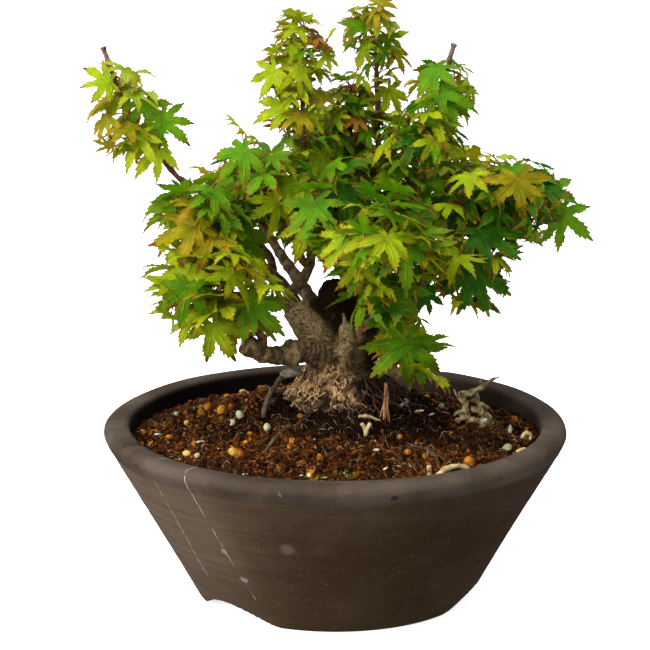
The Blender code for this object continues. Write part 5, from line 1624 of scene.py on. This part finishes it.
def place_star(crown, spray, foot, turn, lean, size):
    """A leaf whose blade faces the front and a little up, on a stalk from its spray's stem.

    Where the stem is further off than a stalk is long, a side shoot reaches out to it first.
    The table's places are clear of the limbs and of one another.
    """
    stem = crown.stems[spray.name]
    foot = mm(*foot)
    turn, lean = math.radians(turn), math.radians(lean)
    ahead = np.array((math.cos(turn) * math.cos(lean), -math.sin(lean),
                      math.sin(turn) * math.cos(lean)))
    facing = np.array((0.15 * math.copysign(1, foot[0]), -0.80, 0.55))
    normal = unit(facing - facing.dot(ahead) * ahead)
    start = stem.points[2:]
    root = start[np.linalg.norm(start - (foot - UP * 4 * MM), axis=1).argmin()]
    gap = np.linalg.norm(foot - root)
    if gap > 1.4 * STAR_STALK:
        end = foot + (root - foot) * (STAR_STALK / gap) - UP * 1.5 * MM
        middle = (root + end) / 2 + UP * 0.08 * gap
        shoot = Limb([root, middle, end], mm(0.75, 0.45), spacing=2 * MM)
        crown.shoots.append(shoot)
        root = shoot.points[-1]
    leaf = Leaf(root, foot, ahead, normal, size * MM)
    crown.add_leaf(spray, leaf, leaf_shell(leaf), leaf_middle(leaf))


class Growth:
    """The shoots and leaves of one spray.

    Pairs of buds stand across the shoot every `step`, each pair turned square to the one
    before. A bud gives a leaf or, by the spray's branching, a side shoot with leaves of its own.
    """

    def __init__(self, spray, crown):
        self.spray, self.crown = spray, crown
        self.rng = random.Random(spray.seed)
        self.stem = crown.stems[spray.name]
        self.grow_stem()

    def along_stem(self, values, share):
        """A length in mm that changes evenly along the stem, in metres at this share of it."""
        return float(np.interp(share, np.linspace(0, 1, len(values)), mm(*values)))

    def grow_stem(self):
        """Pairs of buds from the first leaf's place to the tip, and leaves round the tip."""
        rng, spray, stem = self.rng, self.spray, self.stem
        turn = rng.uniform(0, math.pi)
        distance = spray.first_leaf * MM
        bare = spray.leaf[-1] <= LEAST_TIP_LEAF
        while distance < stem.length * (BARE_FROM if bare else 1) - 1.0 * MM:
            share = distance / stem.length
            size = self.along_stem(spray.leaf, share)
            reach = self.along_stem(spray.reach, share)
            for side in (0, math.pi):
                self.bud(distance, turn + side, size, reach)
            turn += math.pi / 2 + rng.uniform(-0.3, 0.3)
            distance += spray.step * MM * rng.uniform(0.85, 1.15)
        if not bare:
            self.tip_leaves(stem, spray.leaf[-1] * MM)

    def bud(self, distance, turn, size, reach):
        """A side shoot where the spray branches and there is room for it, or else a leaf."""
        if self.rng.random() < self.spray.branching:
            shoot = self.side_shoot(distance, turn, reach)
            if shoot is not None:
                self.crown.shoots.append(shoot)
                for share in (0.35, 0.68):
                    for side in (0, math.pi):
                        self.leaf(shoot, share * shoot.length, turn + side + share * 4,
                                  size * (1 - 0.25 * share))
                self.tip_leaves(shoot, size * 0.75)
                return
        self.leaf(self.stem, distance, turn, size * self.rng.uniform(0.85, 1.08))

    def side_shoot(self, distance, turn, reach):
        """A curved twig from the stem, or None where it would leave its space or touch a limb."""
        place, along, _ = self.stem.at(distance)
        length = reach * self.rng.uniform(0.40, 0.66)
        way = unit(across(along, turn) + along * 0.5 + UP * 0.15) * length
        places = [place, place + way / 2, place + way + UP * length * 0.12]
        shoot = Limb(places, mm(0.7, 0.4), spacing=2 * MM)
        return shoot if self.crown.room_for(self.spray, shoot.points[2:]) else None

    def tip_leaves(self, shoot, size):
        """Leaves spread round a shoot's tip: a pair, and a smaller pair square to it."""
        turn = self.rng.uniform(0, math.pi)
        for i in range(4):
            side = turn + i * math.pi + (i // 2) * math.pi / 2
            self.leaf(shoot, shoot.length - 0.6 * MM, side, size * (1 - 0.18 * (i // 2)), 0.7,
                      RISING)

    def leaf(self, shoot, distance, turn, size, forward=0.0, rise=HANGING):
        """Adds a leaf: the roomiest of the first few trial poses that touch nothing."""
        place, along, _ = shoot.at(distance)
        best, best_gap, found = None, -1.0, 0
        for trial in range(LEAF_TRIES):
            tried = turn + self.rng.uniform(-0.8, 0.8)
            out = unit(across(along, tried) + along * forward)
            leaf = place_leaf(self.rng, place, out, along, size * (1 - 0.015 * trial), rise)
            probes = np.vstack([leaf_outline(leaf)[LOBE_TIPS, :], leaf.foot])
            if not self.crown.room_for(self.spray, probes):
                continue
            shell = leaf_shell(leaf)
            middle = leaf_middle(leaf)
            if self.crown.meets(shell, middle):
                continue
            gap = self.crown.spacing(middle)
            if gap > best_gap:
                best, best_gap = (leaf, shell, middle), gap
            found += 1
            if found == LEAF_CHOICES:
                break
        if best is not None:
            self.crown.add_leaf(self.spray, *best)


# Lobes: turn from the middle lobe in degrees and length; sinuses: turn and distance.
LOBES = ((-128, 0.46), (-84, 0.78), (-41, 0.94), (0, 1.0), (41, 0.94), (84, 0.78), (128, 0.46))
SINUSES = ((-165, 0.07), (-106, 0.21), (-62, 0.31), (-20, 0.36),
           (20, 0.36), (62, 0.31), (106, 0.21), (165, 0.07))
# Stations on a lobe beyond its sinuses: share of the way to the tip, half width in lobe
# lengths, and how far the edge stands ahead of the rib there. Wide ones are teeth.
STATIONS = ((0.13, 0.135, 0.02), (0.19, 0.110, 0.00), (0.32, 0.160, 0.07), (0.38, 0.116, 0.00),
            (0.49, 0.142, 0.07), (0.55, 0.090, 0.00), (0.67, 0.092, 0.06), (0.73, 0.046, 0.00),
            (0.85, 0.034, 0.03), (1.00, 0.0, 0.0))


def leaf_meshes(leaves, seed):
    """Points (n, vertices, 3), UVs and faces of many maple leaves worked out at once.

    In a leaf, x runs along the middle lobe, y across it and z out of the blade. Each lobe is a
    strip of three columns: its left edge, rib and right edge, from the leaf's foot through the
    sinuses beside it to its tip, the edge toothed. Heights, in leaf lengths:
    z = fold |offset| + twist offset - droop r^2 - curl (share of the lobe)^3 - cup y^2, where
    the offset is from the lobe's rib and r from the leaf's foot.
    """
    rng = np.random.default_rng(seed)
    count = len(leaves)

    def led(first, values):
        """Each leaf's row of values with one more number before it."""
        return np.hstack([np.full((count, 1), first), values])

    sizes = np.array([leaf.size for leaf in leaves])
    turn_shift = rng.normal(0, 4.5, (count, len(LOBES)))
    length_shift = 1 + rng.normal(0, 0.09, (count, len(LOBES)))
    width = rng.uniform(0.90, 1.20, count)[:, None]
    fold = rng.uniform(0.10, 0.48, count)[:, None]
    droop = rng.uniform(0.00, 0.28, count)[:, None]
    cup = rng.uniform(-0.10, 0.25, count)[:, None]
    strips = []
    columns = len(STATIONS) + 2
    for i, (turn, length) in enumerate(LOBES):
        angle = np.radians(turn + turn_shift[:, i])[:, None]
        reach = (length * length_shift[:, i])[:, None]
        curl = rng.uniform(-0.12, 0.32, count)[:, None] * length
        twist = rng.uniform(-0.55, 0.55, count)[:, None]
        beside = [SINUSES[i], SINUSES[i + 1]]
        start = 0.5 * (beside[0][1] + beside[1][1])
        share = np.array([s[0] for s in STATIONS])
        half = np.array([s[1] for s in STATIONS]) * reach * width
        lead = np.array([s[2] for s in STATIONS]) * reach
        along_rib = start + (reach - start) * share
        edges = []
        for sign, (sinus_turn, sinus) in ((-1, beside[0]), (1, beside[1])):
            sinus_turn = math.radians(sinus_turn)
            x = (along_rib + lead) * np.cos(angle) - sign * half * np.sin(angle)
            y = (along_rib + lead) * np.sin(angle) + sign * half * np.cos(angle)
            raised = fold * led(0.10, half) + sign * twist * led(0.0, half)
            edges.append((led(sinus * math.cos(sinus_turn), x),
                          led(sinus * math.sin(sinus_turn), y), raised))
        rib_x = np.hstack([start * np.cos(angle), along_rib * np.cos(angle)])
        rib_y = np.hstack([start * np.sin(angle), along_rib * np.sin(angle)])
        rows = [edges[0], (rib_x, rib_y, np.zeros_like(rib_x)), edges[1]]
        tip_share = np.concatenate([[0.0], share])
        for x, y, raised in rows:
            r2 = x * x + y * y
            z = raised - droop * r2 - curl * tip_share**3 - cup * y * y
            strips.append(np.stack([led(0.0, values) for values in (x, y, z)], axis=-1))
    local = np.concatenate(strips, axis=1) * sizes[:, None, None]
    ahead = np.array([leaf.ahead for leaf in leaves])
    normal = np.array([leaf.normal for leaf in leaves])
    side = np.cross(normal, ahead)
    feet = np.array([leaf.foot for leaf in leaves])
    points = (feet[:, None] + local[..., :1] * ahead[:, None] + local[..., 1:2] * side[:, None]
              + local[..., 2:] * normal[:, None])
    across_uv = np.concatenate([np.full(columns, u) for _ in LOBES for u in (0.0, 0.5, 1.0)])
    shares = np.concatenate([[0.0, 0.3], 0.3 + 0.7 * np.array([s[0] for s in STATIONS])])
    uv = np.stack([across_uv, np.tile(shares, 3 * len(LOBES))], axis=1)
    return points, uv, columns


def leaf_faces(columns, first, last):
    """Faces of one leaf between two stations: two quads a step, on each lobe."""
    faces = []
    for lobe in range(len(LOBES)):
        left, rib, right = (lobe * 3 * columns + k * columns for k in range(3))
        for s in range(first, last):
            faces.append((left + s, rib + s, rib + s + 1, left + s + 1))
            faces.append((rib + s, right + s, right + s + 1, rib + s + 1))
    return np.array(faces)


# Tints: name, colour, deep and pale tones, light through. Bright, mid and deep are brighter and
# deeper greens picked as painted light and shade.
TINTS = (
    ("bright", (0.360, 0.425, 0.003), (0.210, 0.315, 0.002),
     (0.50, 0.55, 0.030), (0.45, 0.54, 0.008)),
    ("mid", (0.112, 0.262, 0.002), (0.052, 0.165, 0.001),
     (0.27, 0.40, 0.014), (0.20, 0.45, 0.004)),
    ("deep", (0.026, 0.120, 0.001), (0.010, 0.060, 0.000),
     (0.10, 0.21, 0.004), (0.07, 0.28, 0.002)),
    ("olive", (0.350, 0.270, 0.003), (0.200, 0.165, 0.002),
     (0.45, 0.38, 0.020), (0.44, 0.36, 0.008)),
    ("bronze", (0.300, 0.135, 0.010), (0.190, 0.068, 0.006),
     (0.42, 0.22, 0.030), (0.48, 0.22, 0.010)),
)
TIP_TINTS = (
    ("amber_tips", (0.300, 0.185, 0.010), (0.210, 0.110, 0.006),
     (0.40, 0.28, 0.04), (0.45, 0.28, 0.01)),
    ("russet_tips", (0.225, 0.080, 0.012), (0.135, 0.042, 0.007),
     (0.32, 0.14, 0.03), (0.38, 0.14, 0.01)),
)
TIP_FROM = 9


# Painted light and shade: how much brighter or deeper than the rest some sprays' leaves are.
SPRAY_LIGHT = {"left_shoulder": -0.24, "inner_left": -0.20, "centre": -0.16, "right": -0.10,
               "centre_front": -0.06, "left_leader": 0.14, "right_leader": 0.26}


def pick_tint(rng, spray, leaf, centre):
    """Outer, upper leaves and those to the left are brighter, as painted light, and inner, lower
    ones deeper, as painted shade; the smallest are bronze.
    """
    if leaf.size < 8.5 * MM and rng.random() < 0.55:
        return 4
    out = np.linalg.norm((leaf.foot - centre) / mm(95, 60, 80))
    # Painted light and shade: the tint follows how far out, how upward-facing and how far left a
    # leaf is.
    light = 0.75 * out + 0.35 * leaf.normal[2] + rng.uniform(-0.42, 0.42)
    light += 0.05 - 0.20 * leaf.foot[0] / (90 * MM) + SPRAY_LIGHT.get(spray, 0.0)
    if light > 0.98:
        return 3 if rng.random() < 0.28 else 0
    if light > 0.62:
        return 1 if rng.random() < 0.62 else 0
    if light > 0.42:
        return 1 if rng.random() < 0.6 else 2
    return 2


def make_leaves(crown):
    """Blades by tint, the coloured ends of two thirds of the blades' lobes, and the stalks."""
    rng = random.Random(515)
    centre = mm(0, 0, 165)
    names = [spray.name for spray in SPRAYS]
    leaves = [leaf for _, leaf in crown.leaves]
    points, uv, columns = leaf_meshes(leaves, 616)
    tints = np.array([pick_tint(rng, name, leaf, centre) for name, leaf in crown.leaves])
    tints[:len(STARS)] = [star[-1] for star in STARS]
    tips = np.array([rng.choices((0, 1, 2), (0.34, 0.40, 0.26))[0] for _ in leaves])
    tip_from = np.array([rng.choice((TIP_FROM, TIP_FROM + 1)) for _ in leaves])
    each = points.shape[1]

    def lobes(chosen, start, stop, base):
        """The chosen leaves' faces between two stations, numbered on from `base`."""
        starts = base + each * np.arange(len(chosen))
        return (leaf_faces(columns, start, stop)[None] + starts[:, None, None]).reshape(-1, 4)

    def leaf_piece(name, tones, groups, faces, stands_for=()):
        """One kind's piece, from groups of leaves and faces between them; spare points go."""
        used, index = np.unique(np.vstack(faces), return_inverse=True)
        chosen = np.concatenate(groups)
        look = leaf_look("leaf_" + name.removeprefix("leaves_"), *tones)
        piece(name, points[chosen].reshape(-1, 3)[used], index.reshape(-1, 4), look, "leaves",
              uv=np.tile(uv, (len(chosen), 1))[used], stands_for=stands_for)

    ends = {tip: ([], []) for tip in (1, 2)}
    for number, (name, *tones) in enumerate(TINTS):
        groups, faces = [], []
        for tip, first in itertools.product((0, 1, 2), (TIP_FROM, TIP_FROM + 1)):
            chosen = np.flatnonzero((tints == number) & (tips == tip) & (tip_from == first))
            base = each * sum(map(len, groups))
            groups.append(chosen)
            faces.append(lobes(chosen, 0, first, base))
            if tip == 0:
                faces.append(lobes(chosen, first, columns - 1, base))
            else:
                some, tip_faces = ends[tip]
                tip_faces.append(lobes(chosen, first, columns - 1, each * sum(map(len, some))))
                some.append(chosen)
        leaf_piece("leaves_" + name, tones, groups, faces, names if number == 0 else ())
    for tip, (name, *tones) in zip((1, 2), TIP_TINTS):
        leaf_piece(name, tones, *ends[tip])
    make_stalks(leaves)


def make_stalks(leaves):
    """Leaf stalks: bowed tubes from the twig to the blade's foot.

    path(t) = root + (foot - root) t + bow sin(pi t), the bow a tenth of the length upwards.
    """
    roots = np.array([leaf.root for leaf in leaves])
    feet = np.array([leaf.foot for leaf in leaves])
    share = np.linspace(0, 1.03, 7)
    length = np.linalg.norm(feet - roots, axis=1)
    paths = roots[:, None] + (feet - roots)[:, None] * share[None, :, None]
    bow = np.sin(math.pi * np.clip(share, 0, 1))
    paths += UP * (0.10 * length)[:, None, None] * bow[None, :, None]
    radii = np.interp(share, (0, 0.12, 0.3, 1), (0.5, 0.34, 0.25, 0.27)) * MM
    radii = np.broadcast_to(radii, paths.shape[:2])
    look = wood_look("leaf_stalk", (0.26, 0.045, 0.030), (0.46, 0.15, 0.060),
                     (0.2, 0.03, 0.02), 500)
    piece("leaf_stalks", *tubes(paths, radii, 5), look, "leaves")


def make_twigs(crown):
    """Stems and side shoots, with a swelling at each pair of buds, and the bare twigs' ends."""
    noise = Noise(75)
    red = wood_look("young_twig", (0.095, 0.030, 0.018), (0.27, 0.105, 0.060), pitch=900)
    grey = wood_look("bare_twig", (0.045, 0.030, 0.022), (0.20, 0.150, 0.115), pitch=700)
    skins = [limb_skin(stem, 10, 0.8 * MM, 0.06, noise, sink=1.2 * MM, nodes=0.28)
             for stem in crown.stems.values()]
    skins += [limb_skin(shoot, 7, 1.2 * MM, 0.04, noise, nodes=0.2) for shoot in crown.shoots]
    piece("twigs", *join(skins), red, "young_bark")
    bare = []
    for spray in SPRAYS:
        if spray.leaf[-1] <= LEAST_TIP_LEAF:
            stem = crown.stems[spray.name]
            tip, _, radius = stem.at(stem.length)
            start = stem.at(stem.length - BARE_END)[0]
            end = Limb([start, (start + tip) / 2, tip], (radius * 1.30, radius * 1.20))
            bare.append(limb_skin(end, 12, 0.5 * MM, 0.16, noise, nodes=0.5))
    piece("bare_twig_ends", *join(bare), grey, "young_bark")


def grow():
    """The whole plant: trunk, boughs, and the twigs and leaves that grow on from them."""
    limbs = plan_limbs()
    make_trunk(limbs)
    make_boughs(limbs)
    crown = Crown(limbs)
    by_name = {spray.name: spray for spray in SPRAYS}
    for name, foot, turn, lean, size, _ in STARS:
        place_star(crown, by_name[name], foot, turn, lean, size)
    for spray in SPRAYS:
        Growth(spray, crown)
    make_twigs(crown)
    make_leaves(crown)


# Studio -----------------------------------------------------------------------------------

CAMERA_TARGET = (-0.0045, 0.0, 0.118)
CAMERA_DISTANCE = 1.2
CAMERA_PITCH = 13.63
LENS = 155.1
# The sky's strength, between the two ways up; then the floor; then each light's name, place in
# metres, size in metres and watts.
SKY = {"From Min": -0.25, "From Max": 0.35, "To Min": 0.62, "To Max": 0.70}
FLOOR_HALF_WIDTH = 6
FLOOR_GLOW = 0.75
LIGHTS_LOOK_AT = Vector((0, 0, 0.12))
LIGHTS = (
    ("key", (-1.05, -0.75, 0.50), 0.6, 22.0),
    ("above", (-0.35, -0.55, 1.35), 0.7, 18.0),
    ("fill", (0.9, -0.8, 0.7), 0.9, 1.5),
    ("back", (0.1, 0.9, 1.1), 0.8, 9.0),
)


def make_studio():
    """A pale floor, a white sky over a dimmer ground, soft lights and the camera."""
    scene = bpy.context.scene
    scene.view_settings.view_transform = "Standard"
    scene.view_settings.look = "None"
    world = bpy.data.worlds.new("studio")
    world.use_nodes = True
    nodes, links = world.node_tree.nodes, world.node_tree.links
    split = nodes.new("ShaderNodeSeparateXYZ")
    links.new(nodes.new("ShaderNodeTexCoord").outputs["Generated"], split.inputs["Vector"])
    lift = nodes.new("ShaderNodeMapRange")
    lift.interpolation_type = "SMOOTHSTEP"
    links.new(split.outputs["Z"], lift.inputs["Value"])
    for name, value in SKY.items():
        lift.inputs[name].default_value = value
    links.new(lift.outputs["Result"], nodes["Background"].inputs["Strength"])
    nodes["Background"].inputs["Color"].default_value = (1, 1, 1, 1)
    scene.world = world
    floor = bpy.data.meshes.new("floor")
    half = FLOOR_HALF_WIDTH
    floor.from_pydata([(-half, -half, 0), (half, -half, 0), (half, half, 0), (-half, half, 0)],
                      [], [(0, 1, 2, 3)])
    pale = Look("floor", 0.95, 0.0)
    pale.colour((0.9, 0.9, 0.9))
    pale.shader.inputs["Emission Color"].default_value = (1, 1, 1, 1)
    pale.shader.inputs["Emission Strength"].default_value = FLOOR_GLOW
    floor.materials.append(pale.material)
    ground = bpy.data.objects.new("floor", floor)
    ground.visible_diffuse = ground.visible_glossy = ground.visible_transmission = False
    ground.visible_shadow = False
    scene.collection.objects.link(ground)
    for name, place, size, watts in LIGHTS:
        lamp = bpy.data.lights.new(name, "AREA")
        lamp.size = size
        lamp.energy = watts
        aimed(name, lamp, Vector(place), LIGHTS_LOOK_AT)
    pitch = math.radians(CAMERA_PITCH)
    view = bpy.data.cameras.new("camera")
    view.lens = LENS
    view.sensor_width = 36
    target = Vector(CAMERA_TARGET)
    place = target + Vector((0, -math.cos(pitch), math.sin(pitch))) * CAMERA_DISTANCE
    scene.camera = aimed("camera", view, place, target)


def aimed(name, data, place, target):
    """A light or camera at a place, turned to look at its target."""
    obj = bpy.data.objects.new(name, data)
    obj.location = place
    obj.rotation_euler = (target - place).to_track_quat("-Z", "Y").to_euler()
    bpy.context.scene.collection.objects.link(obj)
    return obj


make_studio()
make_pot()
make_soil()
make_grains()
make_fibres()
grow()
